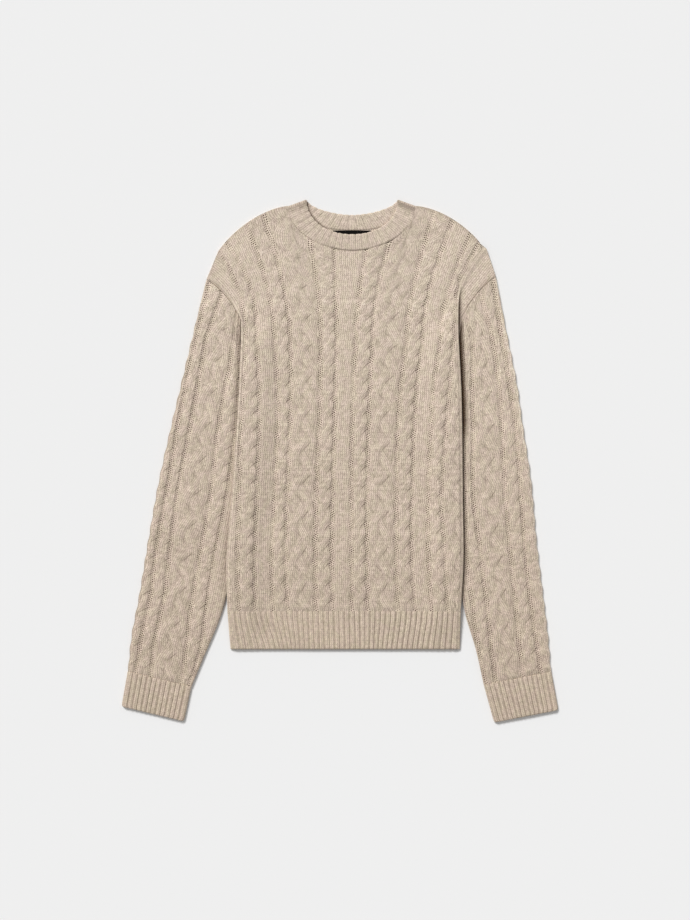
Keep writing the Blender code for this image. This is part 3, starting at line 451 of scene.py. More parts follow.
@dataclass(frozen=True)
class CableStitch:
    """Knits one zone of cables or plain stitches."""

    zone: Zone
    marks: tuple[float, ...]
    mirrored: bool = False

    def crossings(self, length: Array) -> Array:
        """Crossings counted at lengths along the zone, going on evenly beyond its marks."""
        every = BRAIDS_A_MARK if self.zone in (Zone.BRAID, Zone.BRAID_CUT) else ROPES_A_MARK
        marks = np.asarray(self.marks, float)
        steps = np.diff(marks)
        i = np.clip(np.searchsorted(marks, length, side="right") - 1, 0, len(steps) - 1)
        return every * (i + (length - marks[i]) / steps[i])

    def knit(
        self, share: Array, width: Array, length: Array, sides: tuple[Array, Array] | None = None
    ) -> Knit:
        """The yarn over a zone.

        Args:
            share: shares across the zone, one for each column.
            width: the zone's width at each row.
            length: the length along the zone at each row.
            sides: the lengths along its left and right purl lines, where they differ.

        Returns:
            The yarn at each row and column.
        """
        end = self.ground(np.ones(1))[0]
        share = np.broadcast_to(share[None, :], (len(width), len(share)))
        lines = [line[:, None] for line in sides or (length, length)]
        full, length = width[:, None] / SHOWN.get(self.zone, 1.0), length[:, None]
        ground, count = self.ground(share), self.crossings(length)
        nearest = np.minimum(ground, 1.0 - ground) * full
        body = ease(nearest, 0.5, PURL_HALF + 1.1)
        room = np.clip(full / 20.0 - 0.25, 0.0, 1.0)
        result = Knit.plain((ground - 0.5) * full, length / COURSE)
        result.cable = np.stack([ground, np.broadcast_to(count, share.shape)], axis=-1)
        result.before = result.cable.copy()
        result.end = np.stack([np.full(len(width), end), count[:, 0]], axis=-1)
        up = mix(*lines, share)
        waver = PURL_WAVER * np.sin(up / 7.1 + np.sin(up / 31.0))
        right_of = np.where(ground < 0.5, ground, ground - 1.0) * full + waver
        result.valley = np.stack([right_of, up], axis=-1)
        result.crossing = np.full(share.shape, self.zone.crossing)
        result.purl = 1.0 - ease(nearest, PURL_WALE + 0.5, PURL_WALE + 1.7)
        if not self.zone.crossing:
            crowned = 0.75 + 0.45 * np.sin(np.pi * np.clip(ground, 0.0, 1.0))
            result.rise = mix(-PURL_DEPTH, PLAIN_RISE * np.sqrt(room) * crowned, body)
            return result
        cabled = full - 1.4 * PURL_HALF
        across = (ground - 0.5) * 2.0 * full / np.maximum(cabled, 1.0)
        strands, rise, courses = self.strands(across, count)
        result.heights = np.stack([np.broadcast_to(height, share.shape) for height, _ in strands])
        order = np.sort(result.heights, axis=0)
        gap = order[-1] - order[-2]
        # Painted shade in the groove where two strands meet at nearly the same height
        result.crease = 0.2 * np.exp(-((gap / 0.14) ** 2)) * (order[-2] > 0.1) * body * room
        courses = np.broadcast_to(courses, share.shape)
        result.stitches = np.stack([
            np.stack([(across - middle) * cabled / 2.0 / WALE + 0.5, courses], axis=-1)
            for _, middle in strands
        ])
        result.rise = mix(-PURL_DEPTH, room * rise * order[-1], body)
        return result

    def ground(self, share: Array) -> Array:
        """Shares across the whole zone, where an edge or a pleat may cut a part of it off."""
        shown = SHOWN.get(self.zone, 1.0)
        share = share * shown if self.zone is Zone.BRAID_CUT else mix(1.0 - shown, 1.0, share)
        return 1.0 - share if self.mirrored else share

    def strands(self, across: Array, count: Array) -> tuple[list, float, Array]:
        """The strands of a cable.

        Args:
            across: places across it, from -1 to 1.
            count: crossings counted along it.

        Returns:
            (height, middle) of each strand and of the bed under them, the rise and the courses.
        """
        bed, still = np.sqrt(np.clip(1.0 - across**4, 0.0, 1.0)), 0.0 * count
        if self.zone.crossing == Zone.ROPE.crossing:
            pair = [self.rope_strand(across, count - ROPE_PAST_MARK, way) for way in (1, -1)]
            none = np.full(across.shape, -1.0), pair[0][1]
            return [*pair, (ROPE_BED * bed, still), none], ROPE_RISE, count * COURSES_PER_CROSSING
        three = [self.braid_strand(across, count - BRAID_PAST_MARK, number) for number in range(3)]
        return [*three, (BRAID_BED * bed, still)], BRAID_RISE, count * COURSES_PER_BRAID_CROSSING

    @staticmethod
    def rope_strand(across: Array, count: Array, way: int) -> tuple[Array, Array]:
        """(height, middle) of one of a rope's two strands, which cross over in turn."""
        turn = np.pi * count
        middle = way * ROPE_SWING * np.tanh(ROPE_HURRY * np.sin(turn)) / math.tanh(ROPE_HURRY)
        lead = way * np.cos(turn)
        top = ROPE_TOP + ROPE_LEAD * np.sign(lead) * np.abs(lead) ** 1.2
        return top * strand_shape(across - middle, ROPE_RADIUS), middle

    @staticmethod
    def braid_strand(across: Array, count: Array, number: int) -> tuple[Array, Array]:
        """(height, middle) of one of a braid's three strands."""
        turn = TURN * (count / 3.0 + number / 3.0 + 11.0 / 12.0)
        middle = BRAID_SWING * np.sin(turn)
        top = BRAID_TOP - BRAID_LEAD * np.sin(2.0 * turn)
        return top * strand_shape(across - middle, BRAID_RADIUS), middle


@dataclass(frozen=True)
class Fold:
    """A soft trough or ridge in laid cloth, from one place to another."""

    start: Place
    end: Place
    width: float
    rise: float

    def over(self, x: Array, y: Array) -> Array:
        """Its height at places on the cloth."""
        along = np.subtract(self.end, self.start)
        length = float(np.hypot(*along))
        unit = along / length
        right, up = x - self.start[0], y - self.start[1]
        t = np.clip((right * unit[0] + up * unit[1]) / length, 0.0, 1.0)
        away = np.hypot(right - t * along[0], up - t * along[1])
        return self.rise * np.exp(-((away / self.width) ** 2)) * np.sin(np.pi * mix(0.12, 0.88, t))


FRONT_FOLDS = (
    Fold((-146.0, 196.0), (-104.0, 132.0), 9.0, -0.9),
    Fold((-150.0, 140.0), (-122.0, 66.0), 12.0, 0.7),
    Fold((170.0, 150.0), (132.0, 84.0), 10.0, -0.8),
    Fold((176.0, 60.0), (150.0, -20.0), 12.0, 0.6),
    Fold((-150.0, -160.0), (-112.0, -212.0), 12.0, -1.0),
    Fold((-60.0, -205.0), (60.0, -216.0), 10.0, -0.6),
    Fold((-70.0, 300.0), (-10.0, 296.0), 10.0, -0.6),
    Fold((60.0, 306.0), (112.0, 330.0), 11.0, -0.6),
    Fold((-170.0, 300.0), (-120.0, 250.0), 14.0, 0.6),
    Fold((190.0, 310.0), (140.0, 262.0), 14.0, 0.6),
    Fold((-75.0, 287.0), (95.0, 288.0), 2.2, -0.45),
    Fold((-110.0, 243.0), (120.0, 241.0), 2.2, -0.4),
)


def unevenness(x: Array, y: Array, size: float) -> Array:
    """A slow, uneven swell of laid cloth, up to about size either way."""
    return size * (
        0.5 * np.sin(x / 21.0 + 1.3 * np.sin(y / 47.0))
        * np.sin(y / 33.0 + 0.9 * np.sin(x / 38.0) + 1.1)
        + 0.3 * np.sin(x / 9.5 - y / 27.0 + 2.0)
        + 0.2 * np.sin(y / 11.5 + x / 31.0)
    )


def make_object(bm: bmesh.types.BMesh, name: str, material: bpy.types.Material) -> bpy.types.Object:
    """Turns a bmesh into a named object with its finish."""
    mesh = bpy.data.meshes.new(name)
    bm.to_mesh(mesh)
    bm.free()
    mesh.materials.append(material)
    return place_object(name, mesh)


def place_object(name: str, data: bpy.types.ID) -> bpy.types.Object:
    """A new object in the scene."""
    obj = bpy.data.objects.new(name, data)
    bpy.context.scene.collection.objects.link(obj)
    return obj


class Shell:
    """Grids of cloth in one bmesh, sewn together into a closed shell."""

    def __init__(self) -> None:
        self.bm = bmesh.new()
        self.grids: list[tuple[list, Knit | None]] = []

    def grid(self, points: Array, knit: Knit | None = None) -> list[list]:
        """A grid of quads through rows of points.

        Args:
            points: rows, columns and (x, y, z) in millimetres.
            knit: the yarn at each point, or None where the cloth is plain.

        Returns:
            Its vertices in the same rows.
        """
        rows, columns = points.shape[:2]
        segments = {"x_segments": columns - 1, "y_segments": rows - 1}
        made = bmesh.ops.create_grid(self.bm, size=1.0, **segments)["verts"]
        made.sort(key=lambda vert: (round(vert.co.y, 5), round(vert.co.x, 5)))
        for vert, place in zip(made, (points.reshape(-1, 3) * MM).tolist()):
            vert.co = place
        self.grids.append((made, knit))
        return [made[row * columns : (row + 1) * columns] for row in range(rows)]

    def sew(self, first: Sequence, second: Sequence) -> None:
        """Triangles between two chains of vertices that may have unlike counts."""
        i, j = 0, 0
        while i + 1 < len(first) or j + 1 < len(second):
            spans = [
                (chain[k + 1].co - other.co).length if k + 1 < len(chain) else math.inf
                for chain, k, other in ((first, i, second[j]), (second, j, first[i]))
            ]
            if spans[0] <= spans[1]:
                self.bm.faces.new((first[i], first[i + 1], second[j]))
                i += 1
            else:
                self.bm.faces.new((first[i], second[j + 1], second[j]))
                j += 1

    def sew_sides(self, first: list[list], second: list[list], side: int) -> None:
        """Sews the first or last vertices of every row of two grids together."""
        self.sew([row[side] for row in first], [row[side] for row in second])

    def wall(self, outer: Array, inner: Array, knit: Knit) -> None:
        """A fine outer grid over a coarse inner one, closed round its four edges."""
        out, inside = self.grid(outer, knit), self.grid(inner)
        self.sew(out[0], inside[0])
        self.sew(out[-1], inside[-1])
        for side in (0, -1):
            self.sew_sides(out, inside, side)

    def tube(self, top: Array, foot: Array, roof: Array, bed: Array, knit: Knit) -> None:
        """A flattened tube: a fine top and a flat foot round a thin hollow, open at both ends."""
        upper, lower = self.grid(top, knit), self.grid(foot)
        inner_top, inner_foot = self.grid(roof), self.grid(bed)
        for edge in (0, -1):
            self.sew_sides(upper, lower, edge)
            self.sew_sides(inner_top, inner_foot, edge)
            self.sew(upper[edge], inner_top[edge])
            self.sew(lower[edge], inner_foot[edge])
            for side in (0, -1):
                ring = upper, lower, inner_foot, inner_top
                self.bm.faces.new([rows[edge][side] for rows in ring])

    def finish(self, name: str, finish: KnitFinish, weld: bool = False) -> bpy.types.Object:
        """Turns the shell into a named object with its stitches laid out in UV maps.

        Args:
            name: the piece's name.
            finish: its finish.
            weld: whether the shell's first and last rows are the same points.

        Returns:
            The object.
        """
        bm = self.bm
        if weld:
            bmesh.ops.remove_doubles(bm, verts=bm.verts, dist=0.001 * MM)
        bm.normal_update()
        bmesh.ops.recalc_face_normals(bm, faces=bm.faces)
        if bm.calc_volume(signed=True) < 0.0:
            bmesh.ops.reverse_faces(bm, faces=bm.faces)
        bm.verts.index_update()
        count = len(bm.verts)
        places = np.array([vert.co[:] for vert in bm.verts])
        whole = Knit.plain(places[:, None, 0] / MM, places[:, None, 1] / MM / COURSE)
        whole.zone[:] = -1
        for made, knit in self.grids:
            if knit is None:
                continue
            kept = np.array([vert.is_valid for vert in made])
            index = np.array([vert.index for vert in made if vert.is_valid])
            for title in BY_STRAND:
                values = getattr(knit, title)
                values = values.reshape(STRANDS, -1, *values.shape[3:])
                getattr(whole, title)[:, index, 0] = values[:, kept]
            for title in ("before", "zone", *BY_POINT):
                values = getattr(knit, title)
                getattr(whole, title)[index, 0] = values.reshape(-1, *values.shape[2:])[kept]
        obj = make_object(bm, name, finish.material())
        self.lay_stitches(obj.data, whole)
        for title, values in (("crease", whole.crease), ("purl", whole.purl)):
            layer = obj.data.attributes.new(title, "FLOAT", "POINT")
            layer.data.foreach_set("value", values.ravel().astype(np.float32))
        obj.data.shade_smooth()
        obj.data.set_sharp_from_angle(angle=math.radians(70))
        LOG.info("%s: %d vertices", name, count)
        return obj

    @staticmethod
    def lay_stitches(mesh: bpy.types.Mesh, whole: Knit) -> None:
        """Writes the UV maps: each face lies in one zone and follows the strand on top."""
        corner = np.empty(len(mesh.loops), np.int32)
        mesh.loops.foreach_get("vertex_index", corner)
        sides = np.empty(len(mesh.polygons), np.int32)
        mesh.polygons.foreach_get("loop_total", sides)
        face = np.repeat(np.arange(len(sides)), sides)
        heights = whole.heights[:, :, 0]
        total = np.stack([np.bincount(face, weights=row[corner]) for row in heights])
        zone = whole.zone[:, 0]
        face_zone = np.full(len(sides), zone.max() + 1)
        np.minimum.at(face_zone, face, zone[corner])
        own = (zone[corner] == face_zone[face])[:, None]
        crossing = np.zeros(zone.max() + 2)
        crossing[zone + 1] = whole.crossing[:, 0]
        maps = {
            "stitches": whole.stitches[:, :, 0][total.argmax(axis=0)[face], corner],
            "cable": np.where(own, whole.cable[corner, 0], whole.before[corner, 0]),
            "valley": whole.valley[corner, 0],
        }
        for title, uv in maps.items():
            layer = mesh.uv_layers.new(name=title)
            layer.data.foreach_set("uv", uv.astype(np.float32).ravel())
        layer = mesh.attributes.new("crossing", "FLOAT", "FACE")
        layer.data.foreach_set("value", crossing[face_zone + 1].astype(np.float32))


def opaque(colour: Colour) -> tuple[float, float, float, float]:
    """A colour with full alpha."""
    return (*colour, 1.0)


@dataclass(frozen=True)
class Value:
    """A value that varies over a surface; arithmetic on it adds Math nodes."""

    nodes: Nodes
    socket: bpy.types.NodeSocket

    def math(self, operation: str, *others: Value | float, clamp: bool = False) -> Value:
        """The result of a Math node on it and others."""
        node = self.nodes.add("ShaderNodeMath", operation=operation, use_clamp=clamp)
        for socket, value in zip(node.inputs, (self, *others)):
            self.nodes.put(socket, value)
        return Value(self.nodes, node.outputs[0])

    def __add__(self, other: Value | float) -> Value:
        """The sum."""
        return self.math("ADD", other)

    def __sub__(self, other: Value | float) -> Value:
        """The difference."""
        return self.math("SUBTRACT", other)

    def __mul__(self, other: Value | float) -> Value:
        """The product."""
        return self.math("MULTIPLY", other)

    def __truediv__(self, other: Value | float) -> Value:
        """The quotient."""
        return self.math("DIVIDE", other)

    def __pow__(self, other: float) -> Value:
        """The power."""
        return self.math("POWER", other)

    def rest(self, clamp: bool = False) -> Value:
        """What it lacks to 1."""
        return self.math("MULTIPLY_ADD", -1.0, 1.0, clamp=clamp)

    def eased(self, low: float, high: float, to_low: float, to_high: float) -> Value:
        """Mapped smoothly from one range to another, and held inside it."""
        node = self.nodes.add("ShaderNodeMapRange", interpolation_type="SMOOTHSTEP")
        for socket, number in zip(node.inputs, (self, low, high, to_low, to_high)):
            self.nodes.put(socket, number)
        return Value(self.nodes, node.outputs[0])


class Nodes:
    """A short way to build a node tree."""

    def __init__(self, tree: bpy.types.NodeTree) -> None:
        self.tree = tree

    def add(self, kind: str, **settings) -> bpy.types.Node:
        """A new node with its settings."""
        node = self.tree.nodes.new(kind)
        for key, value in settings.items():
            setattr(node, key, value)
        return node

    def put(self, socket: bpy.types.NodeSocket, value: Value | float | tuple) -> None:
        """Sets a socket to a number, vector or colour, or links it to a value."""
        if isinstance(value, Value):
            self.tree.links.new(value.socket, socket)
        else:
            socket.default_value = value

    def fill(self, node: bpy.types.Node, inputs: dict) -> dict[str, Value]:
        """Sets a node's inputs by name, and gives its outputs by name."""
        for name, value in inputs.items():
            self.put(node.inputs[name], value)
        return {socket.name: Value(self, socket) for socket in node.outputs}

    def group(self, name: str, **inputs: Value) -> dict[str, Value]:
        """The outputs of a shader group that is placed here."""
        return self.fill(self.add("ShaderNodeGroup", node_tree=bpy.data.node_groups[name]), inputs)

    def place(self) -> Value:
        """The place on the sweater, in metres."""
        return self.fill(self.add("ShaderNodeTexCoord"), {})["Object"]

    def split(self, vector: Value) -> list[Value]:
        """The X, Y and Z of a vector."""
        return list(self.fill(self.add("ShaderNodeSeparateXYZ"), {"Vector": vector}).values())

    def chance(self, across: Value, up: Value) -> Value:
        """A number from 0 to 1 of its own for each whole cell across and up."""
        whole = {"X": across.math("FLOOR"), "Y": up.math("FLOOR")}
        cell = self.fill(self.add("ShaderNodeCombineXYZ"), whole)
        return self.fill(self.add("ShaderNodeTexWhiteNoise", noise_dimensions="2D"), cell)["Value"]

    def noise(self, place: Value, scale: float, detail: float = 2.0, rough: float = 0.5) -> Value:
        """The height of a Noise Texture."""
        inputs = {"Vector": place, "Scale": scale, "Detail": detail, "Roughness": rough}
        return self.fill(self.add("ShaderNodeTexNoise"), inputs)["Fac"]

    def bump(self, height: Value, distance: float, strength: float = 1.0) -> Value:
        """The normal of a Bump node."""
        inputs = {"Strength": strength, "Distance": distance, "Height": height}
        return self.fill(self.add("ShaderNodeBump"), inputs)["Normal"]

    def blend(
        self,
        share: Value | float,
        first: Value | tuple,
        second: Value | tuple,
        kind: str = "MIX",
        held: bool = True,
    ) -> Value:
        """A colour between two colours, or beyond them where the share isn't held."""
        node = self.add("ShaderNodeMix", data_type="RGBA", blend_type=kind, clamp_factor=held)
        self.fill(node, {"Factor": share, "A": first, "B": second})
        return Value(self, next(socket for socket in node.outputs if socket.type == "RGBA"))

    def tint(self, colour: Value, shade: Value) -> Value:
        """A colour times a shade."""
        return self.blend(1.0, colour, shade, "MULTIPLY")


class Group(Nodes):
    """A shader node group in the making."""

    def __init__(self, name: str, inputs: dict[str, float | None], outputs: Sequence[str]) -> None:
        """Makes the group.

        Args:
            name: the group's name.
            inputs: the value of each number that it takes, or None for a vector.
            outputs: names of the numbers that it gives.
        """
        super().__init__(bpy.data.node_groups.new(name, "ShaderNodeTree"))
        interface = self.tree.interface
        for title, value in inputs.items():
            kind = "NodeSocketVector" if value is None else "NodeSocketFloat"
            socket = interface.new_socket(name=title, in_out="INPUT", socket_type=kind)
            if value is not None:
                socket.default_value = value
        for title in outputs:
            interface.new_socket(name=title, in_out="OUTPUT", socket_type="NodeSocketFloat")
        self.given = self.fill(self.add("NodeGroupInput"), {})

    def give(self, **outputs: Value) -> None:
        """Links what the group puts out, by name."""
        self.fill(self.add("NodeGroupOutput"), outputs)


def stitch_group() -> None:
    """Stitches of plain knitting, from wales and courses.

    Height is the yarn's height, Gap the painted shade between the legs of the stitches and Own a
    number of its own for each stitch.
    """
    group = Group("knit_stitch", {"Stitches": None, "Wobble": 0.5}, ("Height", "Gap", "Own"))
    across, up, _ = group.split(group.given["Stitches"])
    shift = group.given["Wobble"] * 0.5 - 0.25
    wale = across + shift
    side = (wale.math("FRACT") - 0.5).math("ABSOLUTE")
    row = side * -1.5 + up + shift
    legs = (side * TURN).math("SINE") ** 0.6
    along = ((row * TURN).math("COSINE") * 0.5 + 0.5) * 0.65 + 0.35
    lit = (legs * 0.35 + (side * math.pi).math("COSINE") * 0.65) * along
    own = group.chance(wale * 2.0, row) * 0.75 + group.chance(wale, row) * 0.25
    group.give(Height=legs * along, Gap=lit.rest(clamp=True), Own=own)


def purl_group() -> None:
    """Painted shade in the holes by the purl bumps: columns of dots, each column half a course on.

    From millimetres across and up, Dots is how strongly the painted shade in a hole shows and Own a
    number of its own for each hole.
    """
    group = Group("purl_hole", {"Valley": None, "Wobble": 0.5}, ("Dots", "Own"))
    right, up, _ = group.split(group.given["Valley"])
    shift = group.given["Wobble"] * 1.9 - 0.95
    column = (right + shift) / PURL_WALE + 0.5
    course = (up + shift) / PURL_COURSE + column.math("FLOOR") * 0.5
    across = (column.math("FRACT") - 0.5) * PURL_WALE
    along = (course.math("FRACT") - 0.5) * PURL_COURSE
    reach = (across * across + along * along).math("SQRT")
    own = group.chance(column, course)
    group.give(Dots=reach.eased(0.65, 1.3, 1.0, 0.0) * (own * 0.5 + 0.6), Own=own)


@dataclass(frozen=True)
class Stroke:
    """Where one strand of a cable passes over another: the painted shadow under its edge and the
    painted highlight on its ridge.

    Attributes:
        title: the group's name.
        start: share across the zone at which it starts.
        end: share at which it ends.
        pitch: millimetres from one crossing to the next.
        at: part of a crossing by which it lies above the marks.
        reach: millimetres up the cloth from its start to its end.
        bend: how early it rises.
        half_width: half its width.
        ridge: how far above it the ridge lies.
        ridge_half: half the ridge's width.
    """

    title: str
    start: float
    end: float
    pitch: float
    at: float
    reach: float
    bend: float
    half_width: float
    ridge: float
    ridge_half: float

    def group(self) -> None:
        """Makes its shader group, from Across and Count to Dark and Lit."""
        group = Group(self.title, {"Across": 0.5, "Count": 0.0}, ("Dark", "Lit"))
        up = ((group.given["Count"] + (0.5 - self.at)).math("FRACT") - 0.5) * self.pitch
        part = (group.given["Across"] - self.start) / (self.end - self.start)
        held = part.math("MAXIMUM", 0.0).math("MINIMUM", 1.15)
        off = up - (held**self.bend * self.reach - self.reach / 2)
        under = part.eased(-0.15, 0.5, 0.0, 1.0) * part.eased(1.02, 1.16, 1.0, 0.0)
        beside = part.eased(-0.9, -0.2, 0.0, 1.0) * part.eased(0.55, 1.0, 1.0, 0.0)
        dark = self.bell(off, self.half_width * 1.4) * under
        group.give(Dark=dark, Lit=self.bell(off - self.ridge, self.ridge_half) * beside)

    @staticmethod
    def bell(off: Value, width: float) -> Value:
        """1 at no distance, falling off smoothly over a width."""
        ratio = off / width
        return (ratio * ratio * -1.0).math("EXPONENT")


STROKES = (
    Stroke("rope_crossing", 0.5, 0.98, 26.5, 0.0, 12.0, 0.8, 0.6, 6.0, 2.0),
    Stroke("braid_rightward_crossing", 0.46, 0.70, 54.0, 0.0, 16.0, 0.85, 0.7, 10.5, 2.6),
    Stroke("braid_leftward_crossing", 0.54, 0.30, 54.0, 0.5, 14.0, 0.85, 0.6, 9.0, 2.6),
)


def heather_group() -> None:
    """The mixed light and dark fibres of heather yarn.

    Fibres varies from stitch to stitch; Cloud, Tint and the noise that sets how strongly the
    painted shade in the purl holes shows vary slowly over the cloth; and Fuzz is its fine hair.
    """
    group = Group("heather_yarn", {"Place": None}, ("Fibres", "Cloud", "Tint", "Worn", "Fuzz"))
    place = group.given["Place"]
    inputs = {"Vector": place, "Location": (3.1, 1.7, 0.4), "Scale": (1.0, 0.6, 1.0)}
    moved = group.fill(group.add("ShaderNodeMapping"), inputs)["Vector"]
    group.give(
        Fibres=group.noise(place, 900.0, 1.0),
        Cloud=group.noise(place, 26.0),
        Tint=group.noise(moved, 120.0, 3.0, 0.6),
        Worn=group.noise(moved, 75.0, 1.0),
        Fuzz=group.noise(place, 1900.0, 2.0, 0.6),
    )


def start_material(name: str, colour: Colour) -> tuple[bpy.types.Material, Nodes, bpy.types.Node]:
    """A new material, with its nodes and its shader."""
    material = bpy.data.materials.new(name)
    material.use_nodes = True
    material.diffuse_color = opaque(colour)
    return material, Nodes(material.node_tree), material.node_tree.nodes["Principled BSDF"]


@dataclass(frozen=True)
class KnitFinish:
    """Heather wool knit: its own colours and how strongly its stitches show.

    Attributes:
        name: the material's name.
        light: colour of the light fibres.
        dark: colour of the dark fibres.
        stitch: how dark the painted shade in the gaps between its stitches is.
        strokes: how dark the painted shadows at its cables' crossings are.
    """

    name: str
    light: Colour
    dark: Colour
    stitch: float = 0.95
    strokes: float = 0.62

    def material(self) -> bpy.types.Material:
        """The finish as a material, made once."""
        if self.name in bpy.data.materials:
            return bpy.data.materials[self.name]
        material, nodes, shader = start_material(self.name, self.light)
        place = nodes.place()
        heather = nodes.group("heather_yarn", Place=place)
        fibres = heather["Fibres"]
        stitches, cable, valley = (
            nodes.fill(nodes.add("ShaderNodeUVMap", uv_map=name), {})["UV"]
            for name in ("stitches", "cable", "valley")
        )
        crease, purl, crossing = (
            nodes.fill(nodes.add("ShaderNodeAttribute", attribute_name=name), {})["Fac"]
            for name in ("crease", "purl", "crossing")
        )
        stitch = nodes.group("knit_stitch", Stitches=stitches, Wobble=fibres)
        hole = nodes.group("purl_hole", Valley=valley, Wobble=fibres)
        # How strongly the painted shade in the purl holes shows, uneven over the cloth
        holes = hole["Dots"] * heather["Worn"].eased(0.36, 0.56, 0.6, 1.0)
        smooth = purl.rest(clamp=True)
        _, up, _ = nodes.split(place)
        dark, lit = self.crossings(nodes, cable, crossing)
        dark = dark * up.eased(STROKES_FADE_FROM, STROKES_FADE_TO, 1.0, 0.4)
        # Painted shade in stitch gaps, purl holes and crossings, and painted highlights on ridges
        gaps = stitch["Gap"] * -self.stitch + self.stitch * GAP_BALANCE
        shade = gaps * smooth + BRIGHTNESS + lit * RIDGE_LIGHT
        shade = shade * ((holes + PURL_DIM) * purl).rest() * (dark * self.strokes).rest()
        shade = shade.math("MAXIMUM", 0.0) * (heather["Cloud"] * 0.14 + 0.93)
        # Painted shade in creases, furrows and seams, and below 0 painted highlights on edges
        creased = (crease * fibres.eased(0.3, 0.7, 0.72, 1.12)).math("MINIMUM", 1.0)
        own = (stitch["Own"] - hole["Own"]) * smooth + hole["Own"]
        gaps = nodes.blend(shade, opaque(GAP_SHADE), opaque(WHITE), held=False)
        creases = nodes.blend(creased, opaque(WHITE), opaque(CREASE_SHADE), held=False)
        colour = nodes.tint(nodes.tint(self.yarn(nodes, heather, own, up), gaps), creases)
        colour.socket.node.clamp_result = True
        bumps = stitch["Height"] * smooth - holes * purl + heather["Fuzz"] * FUZZ_HEIGHT
        nodes.fill(shader, {
            "Base Color": colour,
            "Roughness": heather["Fuzz"].eased(0.3, 0.7, 0.82, 0.98),
            "Sheen Weight": SHEEN,
            "Sheen Roughness": 0.6,
            "Specular IOR Level": 0.2,
            "Normal": nodes.bump(bumps, STITCH_HEIGHT * MM, 0.7),
        })
        return material

    def yarn(self, nodes: Nodes, heather: dict[str, Value], own: Value, up: Value) -> Value:
        """The yarn's colour.

        Args:
            nodes: the material's nodes.
            heather: what the heather group gives.
            own: each stitch's own number.
            up: metres up the sweater.

        Returns:
            The colour: each stitch its own, cooler or rosier by patches, and with painted shade
                darker
            towards the cuffs, where the light falls off.
        """
        share = own * 0.7 + heather["Fibres"].eased(0.34, 0.66, 0.02, 0.27)
        yarn = nodes.blend(share, opaque(self.dark), opaque(self.light))
        rosy = heather["Tint"].eased(0.38, 0.62, 0.0, 1.0)
        yarn = nodes.tint(yarn, nodes.blend(rosy, opaque(COOL_SHADE), opaque(ROSY_SHADE)))
        # Painted shade, darker towards the cuffs, where the light falls off
        bright = (up - CUFF_LEVEL) / (NECK_LEVEL - CUFF_LEVEL)
        return nodes.tint(yarn, nodes.blend(bright, opaque(CUFF_PAINTED_SHADE), opaque(WHITE)))

    @staticmethod
    def crossings(nodes: Nodes, cable: Value, crossing: Value) -> list[Value]:
        """[dark, lit] of the crossings, painted shadow and painted highlight: ropes where crossing
        is 1, braids where it is 2.
        """
        across, count, _ = nodes.split(cable)
        rope, rightward, leftward = (
            nodes.group(stroke.title, Across=across, Count=count) for stroke in STROKES
        )
        return [
            rope[name] * crossing.math("COMPARE", 1.0, 0.1)
            + (leftward[name] * weak + rightward[name]) * crossing.math("COMPARE", 2.0, 0.1)
            for name, weak in (("Dark", 0.55), ("Lit", 0.8))
        ]


# Rib pieces' colours are a little darker than the body's: painted shade among their ribs
BODY_COLOURS = (0.944, 0.797, 0.649), (0.511, 0.418, 0.327)
HEM_COLOURS = (0.926, 0.784, 0.628), (0.525, 0.43, 0.335)
CUFF_COLOURS = (0.936, 0.791, 0.638), (0.528, 0.433, 0.338)
BAND_COLOURS = (0.875, 0.737, 0.6), (0.475, 0.388, 0.305)
RIB_STITCH = 0.75
BODY_FINISH = KnitFinish("front_heather_knit", *BODY_COLOURS)
BACK_FINISH = KnitFinish("back_heather_knit", *BODY_COLOURS)
SLEEVE_FINISH = KnitFinish("sleeve_heather_knit", (0.954, 0.803, 0.654), (0.515, 0.42, 0.328))
CUFF_FINISH = KnitFinish("cuff_heather_rib", *CUFF_COLOURS, RIB_STITCH)
HEM_FINISH = KnitFinish("hem_heather_rib", *HEM_COLOURS, RIB_STITCH)
HEM_BACK_FINISH = KnitFinish("hem_back_heather_rib", *HEM_COLOURS, RIB_STITCH)
BAND_FINISH = KnitFinish("neckband_heather_rib", *BAND_COLOURS, RIB_STITCH)


@dataclass(frozen=True)
class TapeFinish:
    """Black woven label tape, with its threads' pitch in millimetres."""

    name: str = "label_black_weave"
    colour: Colour = (0.006, 0.005, 0.004)
    warp: float = 0.35
    weft: float = 0.3

    def material(self) -> bpy.types.Material:
        """The finish as a material."""
        material, nodes, shader = start_material(self.name, self.colour)
        across, up, _ = nodes.split(nodes.place())
        warp = (across * (TURN / (self.warp * MM))).math("SINE")
        weft = (up * (TURN / (self.weft * MM))).math("SINE")
        weave = warp * weft * 0.5 + 0.5
        darker = tuple(value * 0.5 for value in self.colour)
        nodes.fill(shader, {
            "Base Color": nodes.blend(weave, opaque(darker), opaque(self.colour)),
            "Roughness": weave.eased(0.0, 1.0, 0.7, 0.9),
            "Specular IOR Level": 0.08,
            "Normal": nodes.bump(weave, 0.08 * MM),
        })
        return material


def lift(y: Number, start: float = UNDERARM + 6, full: float = SLEEVE_TUCK_START) -> Number:
    """How far the body's sides lie above the surface, over the sleeves."""
    return OVER_SLEEVE * ease(y, start, full) * ease(y, HEM_EDGE - 12, SLEEVE_TUCK_END)


def side_height(side: int, y: Number) -> Number:
    """How far the front's turned-under side stands above where it would lie flat."""
    return lift(y, PLEAT_TOP if side > 0 else UNDERARM + 30, UNDERARM)


def base_height(x: Number, y: Number, left: Number, right: Number) -> Number:
    """Height of the back's underside: the body's sides lie on the sleeves."""
    near = [1.0 - ease(inward, SHELF_START, SHELF_END) for inward in (x - left, right - x)]
    return lift(y) * np.maximum(*near)


